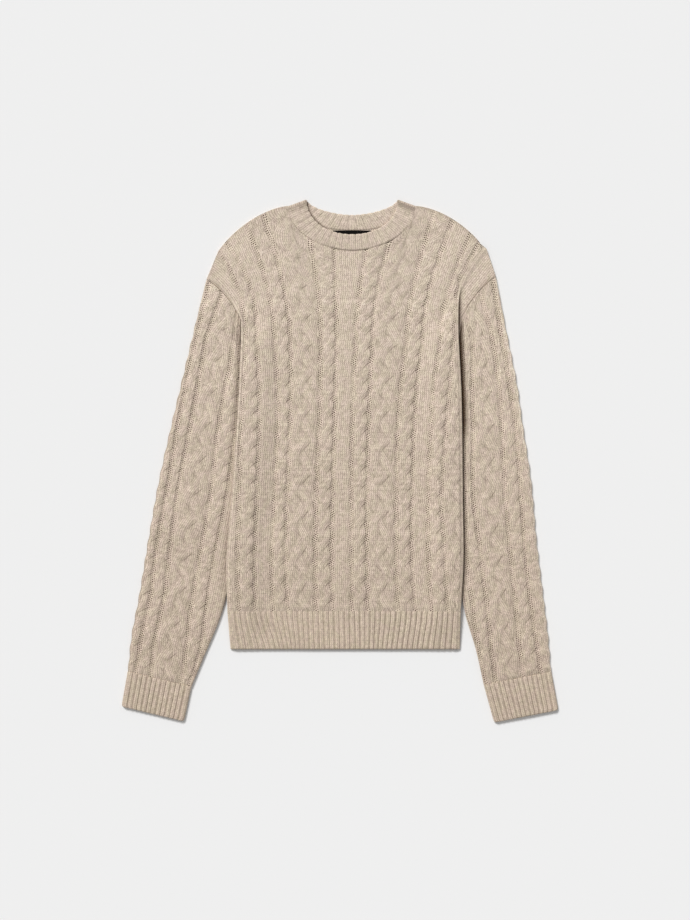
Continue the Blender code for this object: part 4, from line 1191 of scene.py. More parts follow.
def front_height(x: Number, y: Number, left: Number, right: Number) -> tuple:
    """(inside, plain outside) heights of the front at points between its sides."""
    base = base_height(x, y, left, right)
    raised = sum(
        (side_height(side, y) - lift(y)) * (1 - ease(inward, 0, PLEAT_WIDTH))
        for side, inward in ((-1, x - left), (1, right - x))
    )
    return base + FRONT_INSIDE, base + FRONT_PLAIN + np.maximum(raised, 0.0)


def fold_share(side: int, y: float) -> float:
    """1 where the body's side is turned under and 0 where it lies open at a seam."""
    start, full = (UNDERARM - 8, SLEEVE_TUCK_START) if side < 0 else (PLEAT_TOP, UNDERARM + 26)
    return float(ease(y, start, full))


def nose_points(side: int, edge: Place, insets: Sequence[float], ups: Sequence[float]) -> Array:
    """Points round a turned-under side at a row, from its face to its foot."""
    knots, at = np.arange(len(insets)), np.linspace(0.0, len(insets) - 1, NOSE_COLUMNS)
    inset, up = smooth_through(knots, insets, at), smooth_through(knots, ups, at)
    return np.stack([edge[0] - side * inset, np.full_like(inset, edge[1]), up], axis=-1)


def walled(
    name: str, finish: KnitFinish, outer: Array, inner: Array, knit: Knit
) -> bpy.types.Object:
    """A piece of one wall, its fine outer face over its coarse inside."""
    shell = Shell()
    shell.wall(outer, inner, knit)
    return shell.finish(name, finish)


def plain_wall(name: str, finish: KnitFinish, under: Array) -> bpy.types.Object:
    """A plain piece of one wall, on the points of its underside."""
    upper = under + (0.0, 0.0, WALL)
    return walled(name, finish, upper, under, Knit.plain(upper[..., 0], upper[..., 1] / COURSE))


@dataclass(frozen=True)
class NeckCurve:
    """A curve round the neck, lowest in its middle."""

    half_width: float
    corner_y: float
    drop: float
    roundness: float

    def at(self, angle: Number) -> tuple:
        """A point on it: angle 0 is its left corner, 90 degrees its lowest point."""
        across, down = round_corner(self.half_width, self.drop, self.roundness, angle)
        return NECK_MIDDLE - np.copysign(across, np.cos(angle)), self.corner_y - down


FRONT_SEAM = NeckCurve(NECK_HALF_WIDTH, NECK_CORNER_Y, FRONT_NECK_DROP, 1.9)
BACK_SEAM = NeckCurve(NECK_HALF_WIDTH, NECK_CORNER_Y, BACK_NECK_DROP, 2.0)
FRONT_BAND_TOP = NeckCurve(68.3, 392.0, 52.6, 2.1)
BACK_BAND_TOP = NeckCurve(68.3, 392.0, 23.3, 1.7)


@dataclass
class BodyPanel:
    """What the front and the back panel share: the places of their lines and outline.

    A row is a height with share 0, or the chest's height with a share of the way to the top.
    """

    neck: NeckCurve = FRONT_SEAM
    row_step: float = 1.75
    upper_rows: int = 112

    def rows(self) -> list[tuple[float, float]]:
        """The panel's rows, from the hem up."""
        count = round((CHEST - HEM) / self.row_step)
        rows = [(mix(HEM + SEAM_GAP / 2, CHEST, i / count), 0.0) for i in range(count + 1)]
        shares = [i / self.upper_rows for i in range(1, self.upper_rows - 1)]
        return rows + [(CHEST, share) for share in (*shares, *TOP_SHARES)]

    def outline(self, top: Array) -> tuple[Array, Array]:
        """Points on the panel's top outline, at counts as in Line.top."""
        top = np.atleast_1d(np.asarray(top, float))
        left, neck = LEFT_SHOULDER.top(np.clip(top, 0, 1)), self.neck.at((top - 1.0) * np.pi)
        parts = zip(left, neck, RIGHT_SHOULDER.top(np.clip(3.0 - top, 0, 1)))
        return tuple(np.where(top <= 1.0, a, np.where(top < 2.0, b, c)) for a, b, c in parts)

    def place(self, line: Line, row: tuple[float, float]) -> Place:
        """(x, y) of a line at a row."""
        height, share = row
        if share <= 0.0:
            return line.x(height), height
        if line.name == "side_left":
            return LEFT_SHOULDER.edge(0.3, share)
        x, y = (float(smooth_through(PLEAT_KNOTS, knots, share)) for knots in (PLEAT_X, PLEAT_Y))
        if line.name == "side_right":
            return x, y
        if line.name == "purl_12":
            strip = mix(PLEAT_STRIP, PLEAT_STRIP_MIDDLE, math.sin(math.pi * share))
            return x - strip, y + PLEAT_STRIP_UP * share**3
        top_x, top_y = (float(value[0]) for value in self.outline(line.top))
        up = bent(CHEST, mix(CHEST, top_y, 0.38), top_y, share)
        return mix(line.chest, top_x, share**line.fan), up

    @staticmethod
    def column_tops(number: int, parts: Array) -> Array:
        """Where columns meet the outline; the middles of both braids meet the neck's corners."""
        line, following = BODY_LINES[number], BODY_LINES[number + 1]
        if line.zone is not Zone.BRAID:
            return mix(line.top, following.top, parts)
        nearer = np.where(parts < 0.5, line.top, following.top)
        return mix(round(line.top + 0.3), nearer, np.abs(2.0 * parts - 1.0) ** 1.25)

    def between(self, number: int, parts: Array, share: float, places: list) -> Array:
        """Points between a line and the next; towards the top they bend to meet the outline."""
        plan = np.stack([mix(*ends, parts) for ends in zip(places[number], places[number + 1])])
        line, following = BODY_LINES[number], BODY_LINES[number + 1]
        if share > 0.0 and line.zone not in (Zone.PLAIN_CUT, Zone.BRAID_CUT):
            tops = self.outline(line.top), self.outline(following.top)
            straight = [mix(*ends, parts) for ends in zip(*tops)]
            met = self.outline(self.column_tops(number, parts))
            plan = plan + share**3 * (np.stack(met) - np.stack(straight))
        return plan.T

    def across(self, parts: Sequence[Array], share: float, places: list) -> Array:
        """Points across a row, at parts of the way from each line to the next."""
        found = [self.between(number, part, share, places) for number, part in enumerate(parts)]
        return np.concatenate(found)


@dataclass
class FrontPanel(BodyPanel):
    """The front: cables raised on its outside, its sides turned under."""

    sway: float = 1.0
    plain_step: int = 26
    uneven: float = 0.45
    rolled_shade: float = 0.3

    @staticmethod
    def nose(side: int, edge: Place, share: float, rim: float) -> Array:
        """Points round the body's side at a row, from the front's face to its foot."""
        y = edge[1]
        folded, high = fold_share(side, y), side_height(side, y)
        foot = lift(y) + SEAM_GAP / 3
        if side > 0:
            foot = max(foot, FRONT_PLAIN + SEAM_GAP / 3)
        insets, ups = [], []
        for number, (shut, open_) in enumerate(zip(NOSE_FOLDED, NOSE_OPEN)):
            flat = (2 - number) * PLEAT_FLAT_STEP if side > 0 and share > 0.0 else open_[0]
            insets.append(mix(flat, shut[0], folded))
            open_up = FRONT_PLAIN if side > 0 else high + open_[1]
            up = mix(open_up, mix(foot, high + FRONT_PLAIN, shut[1] / FRONT_PLAIN), folded)
            ups.append(mix(FRONT_INSIDE, up, rim))
        return nose_points(side, edge, insets, ups)

    @staticmethod
    def wedge(crease: Array, edge: Place, share: float) -> Array:
        """Points from the pleat's crease to the right armhole seam; below it they turn under."""
        gone = float(ease(edge[1], UNDERARM - 14, UNDERARM - 27))
        seam_x, seam_y = RIGHT_SHOULDER.edge(PLEAT_KNOTS[1], share)
        end_x, end_y = mix(seam_x, edge[0] - FOOT_INSET, gone), mix(seam_y, edge[1], gone)
        near = max(1.0 - abs(end_x - crease[0]) / 5.0, 0.0) * (1 - gone)
        part = np.arange(1, WEDGE_COLUMNS + 1) / WEDGE_COLUMNS
        roll = 0.5 * (1 - gone) * ease(part, 0.7, 1.0)
        up = np.maximum(crease[2] - roll - near * part * 0.8, FRONT_INSIDE + 0.2)
        return np.stack([mix(crease[0], end_x, part), mix(crease[1], end_y, part), up], axis=-1)

    def swayed(self, edges: list, rows: list) -> list:
        """The lines of every row, moved as the ropes beside them swell and draw in."""
        moved = [list(places) for places in edges]
        for number in range(1, len(BODY_LINES) - 1):
            on_right = BODY_LINES[number].zone is Zone.ROPE
            rope = BODY_LINES[number if on_right else number - 1]
            line = np.array([places[number] for places in edges])
            count = CableStitch(rope.zone, rope.marks).crossings(lengths(line))
            turn = TURN * (count + (0.34 if on_right else 0.0))
            calm = np.array([1.0 - row[1] ** 4 for row in rows])
            sway = (1.0 if on_right else -1.0) * self.sway * np.cos(turn) * calm
            for places, (x, y), off in zip(moved, line, sway):
                places[number] = (x + float(off), y)
        return moved

    @staticmethod
    def drawn_in(places: list) -> list:
        """A row's lines with its sides drawn in by the width of the noses."""
        (left, left_y), second, *others, (right, right_y) = places
        left += NOSE_WIDTH
        second = (max(second[0], left + LEAST_COLUMN), second[1])
        return [(left, left_y), second, *others, (right - NOSE_WIDTH, right_y)]

    @staticmethod
    def knit_zones(parts: list, plan: Array, lines: list, drawn: list) -> Knit:
        """The yarn over every zone of the front.

        Args:
            parts: parts of the way across each zone at which its columns lie.
            plan: (x, y) of every point.
            lines: places of the lines in each row.
            drawn: the same, with the sides drawn in.

        Returns:
            The yarn at every point.
        """
        paths, widths = np.array(lines), np.linalg.norm(np.diff(np.array(drawn), axis=1), axis=-1)
        knits, start = [], 0
        for number, (line, part) in enumerate(zip(BODY_LINES, parts)):
            length = lengths(plan[:, start + len(part) // 2])
            sides = lengths(paths[:, number]), lengths(paths[:, number + 1])
            stitch = CableStitch(line.zone, line.marks)
            knits.append(stitch.knit(part, widths[:, number], length, sides))
            start += len(part)
        return Knit.join(knits)

    def build(self) -> bpy.types.Object:
        """The front panel as a fine closed shell."""
        rows = self.rows()
        lines = [[self.place(line, row) for line in BODY_LINES] for row in rows]
        lines = self.swayed(lines, rows)
        drawn = [self.drawn_in(places) for places in lines]
        shares = np.array([share for _, share in rows])
        rims = 0.5 + 0.5 * roll_off(shares, 0.982, 0.018)
        noses = [
            np.stack([self.nose(side, *row) for row in zip((p[end] for p in lines), shares, rims)])
            for side, end in ((-1, 0), (1, -1))
        ]
        ends = zip(noses[1][:, -1], (places[-1] for places in lines), shares)
        wedges = np.stack([self.wedge(*end) for end in ends])
        parts = [np.arange(ZONE_COLUMNS[line.zone]) for line in BODY_LINES[:-1]]
        parts = [part / len(part) for part in parts]
        parts[0] = parts[0][1:]
        plan = np.stack([self.across(parts, *row) for row in zip(shares, drawn)])
        knit = self.knit_zones(parts, plan, lines, drawn)
        x, y = plan[..., 0], plan[..., 1]
        left, right = (np.array([places[end][:1] for places in lines]) for end in (0, -1))
        within, plain = front_height(x, y, left, right)
        swell = unevenness(x, y, self.uneven) + sum(fold.over(x, y) for fold in FRONT_FOLDS)
        calm = ease(x - left, 4.0, 16.0) * ease(right - x, 4.0, 16.0)
        flatter = mix(1.0, FLATTENED, ease(y, FLATTEN_FROM, FLATTEN_TO))
        settled = ease(y, HEM - 1.0, HEM + 7.0) * flatter
        up = mix(within, plain + knit.rise * settled + swell * calm, rims[:, None])
        # Painted shade on the top rows where they roll over
        knit.darken(self.rolled_shade * ease(shares, 0.975, 1.0)[:, None])
        face = np.dstack([plan, up])
        outer = np.concatenate([noses[0][:, ::-1], face, noses[1], wedges], axis=1)
        courses = np.linspace(0, 210, len(rows))[:, None]
        flank_left, flank_right = outer[:, :NOSE_COLUMNS], outer[:, -NOSE_COLUMNS - WEDGE_COLUMNS :]
        flanks = [
            Knit.plain(flank[..., 0] - seam, courses)
            for flank, seam in ((flank_left, x[:, :1]), (flank_right, x[:, -1:]))
        ]
        self.turn_stitches(flanks[1], flank_right)
        self.shade_side(flanks[1], flank_right)
        inner = self.inner(plan, within, lines, rows)
        whole = Knit.join([flanks[0], knit, flanks[1]])
        return walled("front_knit_panel", BODY_FINISH, outer, inner, whole)

    @staticmethod
    def turn_stitches(knit: Knit, points: Array) -> None:
        """Turns the stitches beyond the pleat to run along the armhole seam."""
        x, y = points[:, NOSE_COLUMNS:, 0], points[:, NOSE_COLUMNS:, 1]
        across, up = (x * 0.78 - y * 0.626) / WALE, (x * 0.626 + y * 0.78) / COURSE
        knit.stitches[:, :, NOSE_COLUMNS:] = np.stack([across, up], axis=-1)

    @staticmethod
    def shade_side(knit: Knit, points: Array) -> None:
        """Painted highlight on the right side's rim, painted shade down to its foot, and painted
        shadow beside it in the pleat and along the armhole seam.
        """
        y = points[:, :1, 1]
        folded = np.array([fold_share(1, height) for height in y[:, 0]])[:, None]
        place = np.arange(NOSE_COLUMNS)
        rim = 1.1 * ease(place, 2.0, NOSE_COLUMNS - 2.0)
        rim = rim - 0.1 * ease(place, 0.0, 1.5) * (1.0 - ease(place, 2.0, 4.0))
        edge = points[:, :NOSE_COLUMNS, 0].max(axis=1)[:, None]
        away = np.maximum(points[:, NOSE_COLUMNS:, 0] - edge, 0.0)
        wide = mix(1.4, 3.9, ease(y, 266.0, 222.0))
        dark = mix(0.7, 1.0, ease(y, 266.0, 240.0)) * np.exp(-((away / wide) ** 2))
        dark = dark * ease(y, PLEAT_TOP + 4.0, PLEAT_TOP - 8.0)
        last = np.arange(WEDGE_COLUMNS) == WEDGE_COLUMNS - 1
        seam = 0.38 * last * ease(y, UNDERARM - 12.0, UNDERARM + 6.0)
        knit.crease = np.concatenate([rim * folded, np.maximum(dark, seam)], axis=1)

    def inner(self, plan: Array, within: Array, lines: list, rows: list) -> Array:
        """The plain inside, in fewer rows and columns than the face."""
        columns = slice(6, plan.shape[1] - 6, 4)
        result = []
        for number in (*range(0, len(rows) - 5, self.plain_step), len(rows) - 1):
            (left_x, left_y), (right_x, right_y) = lines[number][0], lines[number][-1]
            left_in, gone = (float(ease(y, UNDERARM + 12, UNDERARM - 8)) for y in (left_y, right_y))
            seam_x, seam_y = RIGHT_SHOULDER.edge(PLEAT_KNOTS[1], rows[number][1])
            middle = np.column_stack([plan[number, columns], within[number, columns]])
            start = left_x + SIDE_INSET * left_in, left_y, middle[0][2]
            end_x, end_y = mix(seam_x, right_x - PLEAT_INSET, gone), mix(seam_y, right_y, gone)
            result.append(np.vstack([start, middle, (end_x, end_y, middle[-1][2])]))
        return np.stack(result)


@dataclass
class BackPanel(BodyPanel):
    """The back: plain where it shows, with its outside on the surface."""

    neck: NeckCurve = BACK_SEAM
    row_step: float = 11.6
    upper_rows: int = 18

    def build(self) -> bpy.types.Object:
        """The back panel as a closed shell."""
        parts = np.linspace(0.0, 1.0, 6)[:-1]
        parts = [parts[:1]] + [parts] * (len(BODY_LINES) - 2)
        under = []
        for row in self.rows():
            places = [self.place(line, row) for line in BODY_LINES]
            left, right = places[0], places[-1]
            drawn_in = SIDE_INSET * float(ease(left[1], UNDERARM + 12, UNDERARM - 8))
            places[0] = left[0] + drawn_in + (SEAM_GAP if drawn_in else 0.0), left[1]
            gone = float(ease(right[1], UNDERARM - 4, UNDERARM - 26))
            seam_x, seam_y = RIGHT_SHOULDER.edge(PLEAT_KNOTS[1], row[1])
            end_x = mix(seam_x, right[0] - PLEAT_INSET, gone) - (SEAM_GAP if gone else 0.0)
            places[-1] = end_x, mix(seam_y, right[1], gone)
            places[1] = max(places[1][0], places[0][0] + LEAST_COLUMN), places[1][1]
            places[-2] = min(places[-2][0], end_x - 2 * LEAST_COLUMN), places[-2][1]
            plan = np.vstack([self.across(parts, row[1], places), places[-1]])
            up = base_height(plan[:, 0], plan[:, 1], left[0], right[0])
            under.append(np.column_stack([plan, up]))
        return plain_wall("back_knit_panel", BACK_FINISH, np.stack(under))


@dataclass(frozen=True)
class RibStitch:
    """Knits ribs: rounded ridges with painted shade in thin furrows between them."""

    pitch: float
    furrow: float = 0.10

    def knit(self, ribs: Array, courses: Array, dark: Number = 0.45) -> Knit:
        """The yarn over ribs.

        Args:
            ribs: ribs counted across at each point, furrows at whole numbers.
            courses: courses up the cloth at each point.
            dark: how dark the painted shade in the furrows is.

        Returns:
            The yarn there.
        """
        ribs, courses = np.broadcast_arrays(ribs, courses)
        phase = ribs - np.floor(ribs)
        nearest = np.minimum(phase, 1.0 - phase)
        ridge = np.clip(np.sin(np.pi * phase), 0.0, 1.0) ** 0.55
        result = Knit.plain(ribs * self.pitch, courses)
        result.rise = mix(-PURL_DEPTH, RIB_RISE, ridge)
        result.crease = dark * np.exp(-((nearest / self.furrow) ** 2))
        return result


@dataclass
class HemRib:
    """The ribbed hem, its front over its back."""

    left_edge: float = -164.4
    right_edge: float = 179.7
    pitch: float = 8.0
    samples: int = 8
    rows: int = 26
    swing: float = 11.5
    swing_x: float = -113.0
    swing_width: float = 38.0
    right_swing: float = -7.0
    overlap: float = 0.6
    uneven: float = 0.35
    # Painted shade in the furrows, darker on the right away from the light, and along the lower
    # edge
    dark_left: float = 0.28
    dark_right: float = 0.58
    edge_shade: float = 0.62

    def sides(self, y: Number) -> tuple:
        """The rib's left and right edges at heights."""
        down = (HEM - y) / (HEM - HEM_EDGE)
        left, right = BODY_LINES[0].hem, BODY_LINES[-1].hem
        return mix(left, self.left_edge, down), mix(right, self.right_edge, down)

    @staticmethod
    def nose(side: int, edge: Place, rim: float) -> Array:
        """Points round the rib's turned-under side, from its face to its foot."""
        base = float(lift(edge[1]))
        insets = [point[0] for point in NOSE_FOLDED[:-1]] + [FOOT_INSET]
        ends = base + SEAM_GAP / 3, base + FRONT_PLAIN * rim
        ups = [mix(*ends, point[1] / FRONT_PLAIN) for point in NOSE_FOLDED]
        return nose_points(side, edge, insets, ups)

    def build_front(self) -> bpy.types.Object:
        """The front rib as a fine closed shell."""
        shares = np.append(np.linspace(0.0, 0.965, self.rows), [0.98, 0.99, 0.996, 1.0])
        heights = mix(HEM + self.overlap, HEM_EDGE, shares)
        rims = mix(0.42, 1.0, roll_off(shares, 0.955, 0.046))
        rims = rims * mix(0.88, 1.0, ease(shares, 0.0, 0.04))
        count = round((BODY_LINES[-1].hem - BODY_LINES[0].hem) / self.pitch)
        ribs = np.arange(1, count * self.samples) / self.samples
        left, right = (side[:, None] for side in self.sides(heights))
        x = mix(left + NOSE_WIDTH, right - NOSE_WIDTH, ribs / count)
        lean = self.swing * np.exp(-(((x - self.swing_x) / self.swing_width) ** 2))
        lean = lean + self.right_swing * ease(x, 25.0, 85.0) * (1.0 - 0.6 * ease(x, 130.0, 170.0))
        lean = lean * np.clip((right - NOSE_WIDTH - x) / 8.0, 0.0, 1.0)
        x = x + lean * ease(shares, 0.0, 1.15)[:, None]
        y = np.broadcast_to(heights[:, None], x.shape)
        noses = [
            np.stack([self.nose(side, *row) for row in zip(zip(edges[:, 0], heights), rims)])
            for side, edges in ((-1, left), (1, right))
        ]
        courses = (heights[:, None] - HEM_EDGE) / COURSE
        # Painted shade in the furrows, darker on the right, away from the light
        dark = mix(self.dark_left, self.dark_right, ease(x, -60.0, 120.0))
        knit = RibStitch(self.pitch).knit(ribs, courses, dark)
        # A painted shadow along the rib's lower edge
        knit.darken(self.edge_shade * ease(shares, 0.965, 1.0)[:, None])
        within, plain = front_height(x, y, left, right)
        wave = unevenness(x, y, self.uneven) * ease(x - left, 2.0, 12.0)
        up = mix(within, plain + knit.rise + wave, rims[:, None])
        outer = np.concatenate([noses[0][:, ::-1], np.dstack([x, y, up]), noses[1]], axis=1)
        flanks = [
            Knit.plain(flank - flank[:, :1], courses)
            for flank in (outer[:, :NOSE_COLUMNS, 0], outer[:, -NOSE_COLUMNS:, 0])
        ]
        inner = self.plain_rows([*heights[::6], HEM_EDGE], 0.0) + (0.0, 0.0, FRONT_INSIDE)
        whole = Knit.join([flanks[0], knit, flanks[1]])
        return walled("hem_front_rib", HEM_FINISH, outer, inner, whole)

    def plain_rows(self, heights: Sequence[float], gap: float) -> Array:
        """Coarse rows across the rib, at the height of its underside."""
        insets = np.array([PLEAT_INSET + gap, *np.linspace(SHELF_START, SHELF_END, 5), 90.0, 120.0])
        rows = []
        for y in heights:
            left, right = self.sides(y)
            x = np.concatenate([left + insets, (right - insets)[::-1]])
            rows.append(np.stack([x, np.full_like(x, y), base_height(x, y, left, right)], axis=-1))
        return np.stack(rows)

    def build_back(self) -> bpy.types.Object:
        """The back rib, under the front one."""
        under = self.plain_rows(np.linspace(HEM - SEAM_GAP / 2, HEM_EDGE, 12), SEAM_GAP)
        return plain_wall("hem_back_rib", HEM_BACK_FINISH, under)


def directions(start: Array, end: Array) -> Array:
    """Unit vectors from places to other places, row by row."""
    return (end - start) / np.linalg.norm(end - start, axis=1, keepdims=True)


def round_edges(outer: Array, inner: Array) -> list[Array]:
    """Points round both folded edges of a flattened tube at each row, in order across its face."""
    turn = np.radians(np.linspace(-EDGE_TURN, EDGE_TURN, EDGE_COLUMNS))
    reach = EDGE_INSET * (1.0 - np.cos(turn))
    up = np.broadcast_to(SLEEVE_PLAIN / 2 * (1.0 + np.sin(turn)), (len(outer), EDGE_COLUMNS))
    edges = []
    for edge, other in ((outer, inner), (inner, outer)):
        along = directions(edge, other)[:, None, :]
        edges.append(np.dstack([edge[:, None, :] + along * reach[None, :, None], up]))
    return [edges[0], edges[1][:, ::-1]]


@dataclass
class Sleeve:
    """A sleeve and its cuff, two flattened tubes."""

    name: str
    side: int
    cuff_x: float
    cuff_y: float
    lean: float
    cuff_length: float
    cuff_outer: float
    cuff_inner: float
    shoulder: Shoulder
    sections: tuple[Section, ...]
    marks: tuple[tuple[float, ...], ...]
    folds: tuple[Fold, ...]
    row_step: float = 1.8
    upper_rows: int = 44
    cuff_pitch: float = 7.4
    cuff_samples: int = 9
    scallop: float = 1.3
    hollow_inset: float = 3.2
    foot_inset: float = 1.6
    uneven: float = 0.5
    cuff_uneven: float = 0.4
    pressed: float = 1.6
    # A painted highlight along the right sleeve's outer edge
    painted_edge_light: float = 0.4

    def on(self, height: Number, across: Number) -> tuple:
        """(x, y) at heights above the cuff seam and places across."""
        lean = math.radians(self.lean)
        x = self.cuff_x - self.side * (height * math.sin(lean) + across * math.cos(lean))
        return x, self.cuff_y + height * math.cos(lean) - across * math.sin(lean)

    def places(self, heights: Array, shares: Array, boundary: float, inset: Number = 0.0) -> Array:
        """Places at rows of the sleeve, on an edge or purl line, by number, or between two."""
        knots = [section.height for section in self.sections]
        first = min(int(boundary), len(SEAM_SHARES) - 2)
        part = boundary - first
        start, end = (
            smooth_through(knots, [section.across()[n] for section in self.sections], heights)
            for n in (first, first + 1)
        )
        x, y = self.on(heights, mix(start, end, part) + inset)
        along = mix(SEAM_SHARES[first], SEAM_SHARES[first + 1], part)
        seam_x, seam_y = self.shoulder.armhole(along)
        return np.stack([mix(x, seam_x, shares), mix(y, seam_y, shares)], axis=-1)

    def inside_body(self, x: Array, y: Array) -> Array:
        """How far in from the body's side places lie, below 0 beside it."""
        line = BODY_LINES[0] if self.side < 0 else BODY_LINES[-1]
        heights = HEM_EDGE, HEM, HIP, WAIST, BUST, CHEST, UNDERARM
        places = line.hem, line.hem, line.hip, line.waist, line.bust, line.chest
        edge = smooth_through(heights, (*places, self.shoulder.underarm_x), y)
        return (x - edge) if self.side < 0 else (edge - x)

    def under_body(self, x: Array, y: Array) -> Array:
        """1 under the body's turned-under side and 0 beside it."""
        beside = ease(self.inside_body(x, y), -11.0, 1.0)
        return beside * ease(y, UNDERARM + 18, UNDERARM - 30) * ease(y, HEM_EDGE - 30, HEM_EDGE)

    def gap_shade(self, x: Array, y: Array) -> Array:
        """The painted shadow on the sleeve in the crease beside the body's side."""
        away = -self.inside_body(x, y)
        if self.side < 0:
            low = 0.36 * (1.0 - ease(away, 0.0, 4.5)) * ease(y, -70.0, -125.0)
            low = low * ease(y, HEM - 14.0, HEM + 16.0)
            high = 0.38 * (1.0 - ease(away, 0.0, 9.0)) * ease(y, UNDERARM, 165.0)
            return low + high * ease(y, 20.0, 110.0)
        high = ease(y, 8.0, 62.0)
        reach = mix(7.5, mix(8.0, 12.0, high), ease(y, UNDERARM, 165.0))
        here = ease(y, UNDERARM + 8.0, UNDERARM - 14.0) * ease(y, HEM_EDGE - 20.0, HEM)
        return mix(0.68, 1.15, high) * (1.0 - ease(away / reach, 0.1, 1.0)) * here

    def build(self) -> bpy.types.Object:
        """The sleeve as a fine closed tube."""
        top = self.sections[-1].height
        count = round(top / self.row_step)
        heights = np.linspace(SEAM_GAP / 2, top, count + 1)
        heights = np.append(heights, np.full(self.upper_rows + 2, top))
        upper = np.linspace(0.0, 1.0, self.upper_rows + 1)[1:] * 0.975
        shares = np.concatenate([np.zeros(count + 1), upper, [0.985, SEAM_REACH]])
        rims = np.ones(len(shares))
        rims[:3], rims[-3:] = (0.9, 0.97, 1.0), (0.99, 0.96, 0.88)
        distance = heights + shares * SLEEVE_TOP_LENGTH
        stitches = [
            CableStitch(zone, marks, self.side > 0) for zone, marks in zip(SLEEVE_ZONES, self.marks)
        ]
        turn = TURN * (stitches[0].crossings(distance) - ROPE_PAST_MARK)
        waist = 0.5 + 0.5 * np.cos(turn)
        drawn_in = self.scallop * waist * (1.0 - shares)
        outer_edge = self.places(heights, shares, 0.0, drawn_in)
        inner_edge = self.places(heights, shares, 5.0)
        first, last = round_edges(outer_edge, inner_edge)
        plans, knits = [], []
        for number, stitch in enumerate(stitches):
            columns = ZONE_COLUMNS[stitch.zone]
            parts = np.arange(1 if number == 0 else 0, columns) / columns
            insets = [drawn_in * max(1.0 - number - part, 0.0) for part in parts]
            plan = np.stack([
                self.places(heights, shares, number + part, inset)
                for part, inset in zip(parts, insets)
            ], axis=1)
            start, end = (self.places(heights, shares, line) for line in (number, number + 1))
            width = np.linalg.norm(end - start, axis=1)
            plans.append(plan)
            knits.append(stitch.knit(parts, width, distance))
        plan, knit = np.concatenate(plans, axis=1), Knit.join(knits)
        x, y = plan[..., 0], plan[..., 1]
        tucked = self.under_body(x, y)
        swell = unevenness(x + 40.0 * self.side, y, self.uneven)
        swell = swell + sum(fold.over(x, y) for fold in self.folds)
        out_off = np.linalg.norm(plan - outer_edge[:, None, :], axis=-1)
        settled = ease(out_off, 0.0, 6.0) * ease(heights, 0.0, 8.0)[:, None]
        rise = (knit.rise * settled + swell) * (1.0 - tucked) - self.pressed * tucked
        # Painted shade along the armhole seam and the painted shadow beside the body
        seam = (0.2 if self.side < 0 else 0.34) * ease(shares, 0.968, SEAM_REACH)[:, None]
        knit.darken(self.gap_shade(x, y))
        knit.darken(seam)
        # On the right sleeve, a painted highlight along the outer edge, which faces away from the
        # light
        if self.side > 0:
            pale = self.painted_edge_light * (1.0 - ease(out_off, 1.0, 6.0)) * (1.0 - shares[:, None])
            knit.crease = knit.crease - pale
        up = (SLEEVE_PLAIN + rise) * rims[:, None]
        face = np.concatenate([first, np.dstack([plan, up]), last], axis=1)
        courses = distance[:, None] / COURSE
        flanks = [self.flank(courses) for _ in range(2)]
        # Outer folds: painted shade on the left, facing the light; painted highlight on the right
        flanks[0].crease[:] = 0.25 if self.side < 0 else -0.45
        picked = [*range(0, count, 20), count, count + self.upper_rows // 2, len(heights) - 1]
        boundaries = [
            self.places(heights[picked], shares[picked], line)
            for line in (0.0, 1.0, 2.0, 2.5, 3.0, 4.0, 5.0)
        ]
        whole = Knit.join([flanks[0], knit, flanks[1]])
        return self.tube("knit_sleeve", SLEEVE_FINISH, face, boundaries, whole)

    def tube(
        self, title: str, finish: KnitFinish, face: Array, boundaries: list, knit: Knit
    ) -> bpy.types.Object:
        """A flattened tube under its face, its foot and its hollow plain through boundaries."""
        foot, roof, bed = (
            self.plain_rows(boundaries, inset, up)
            for inset, up in (
                (self.foot_inset, 0.0),
                (self.hollow_inset, WALL + HOLLOW),
                (self.hollow_inset, WALL),
            )
        )
        shell = Shell()
        shell.tube(face, foot, roof, bed, knit)
        return shell.finish(f"{self.name}_{title}", finish)

    @staticmethod
    def flank(courses: Array) -> Knit:
        """Plain knitting round one of the folded edges."""
        shape = (len(courses), EDGE_COLUMNS)
        return Knit.plain(np.broadcast_to(np.arange(EDGE_COLUMNS) * EDGE_STEP, shape), courses)

    @staticmethod
    def plain_rows(boundaries: Sequence[Array], inset: float, up: float) -> Array:
        """Plain rows through boundaries, drawn in at both edges and level at one height."""
        first, last = boundaries[0], boundaries[-1]
        along = directions(first, last)
        plan = np.stack([first + along * inset, *boundaries[1:-1], last - along * inset], axis=1)
        return np.dstack([plan, np.full(plan.shape[:2], up)])

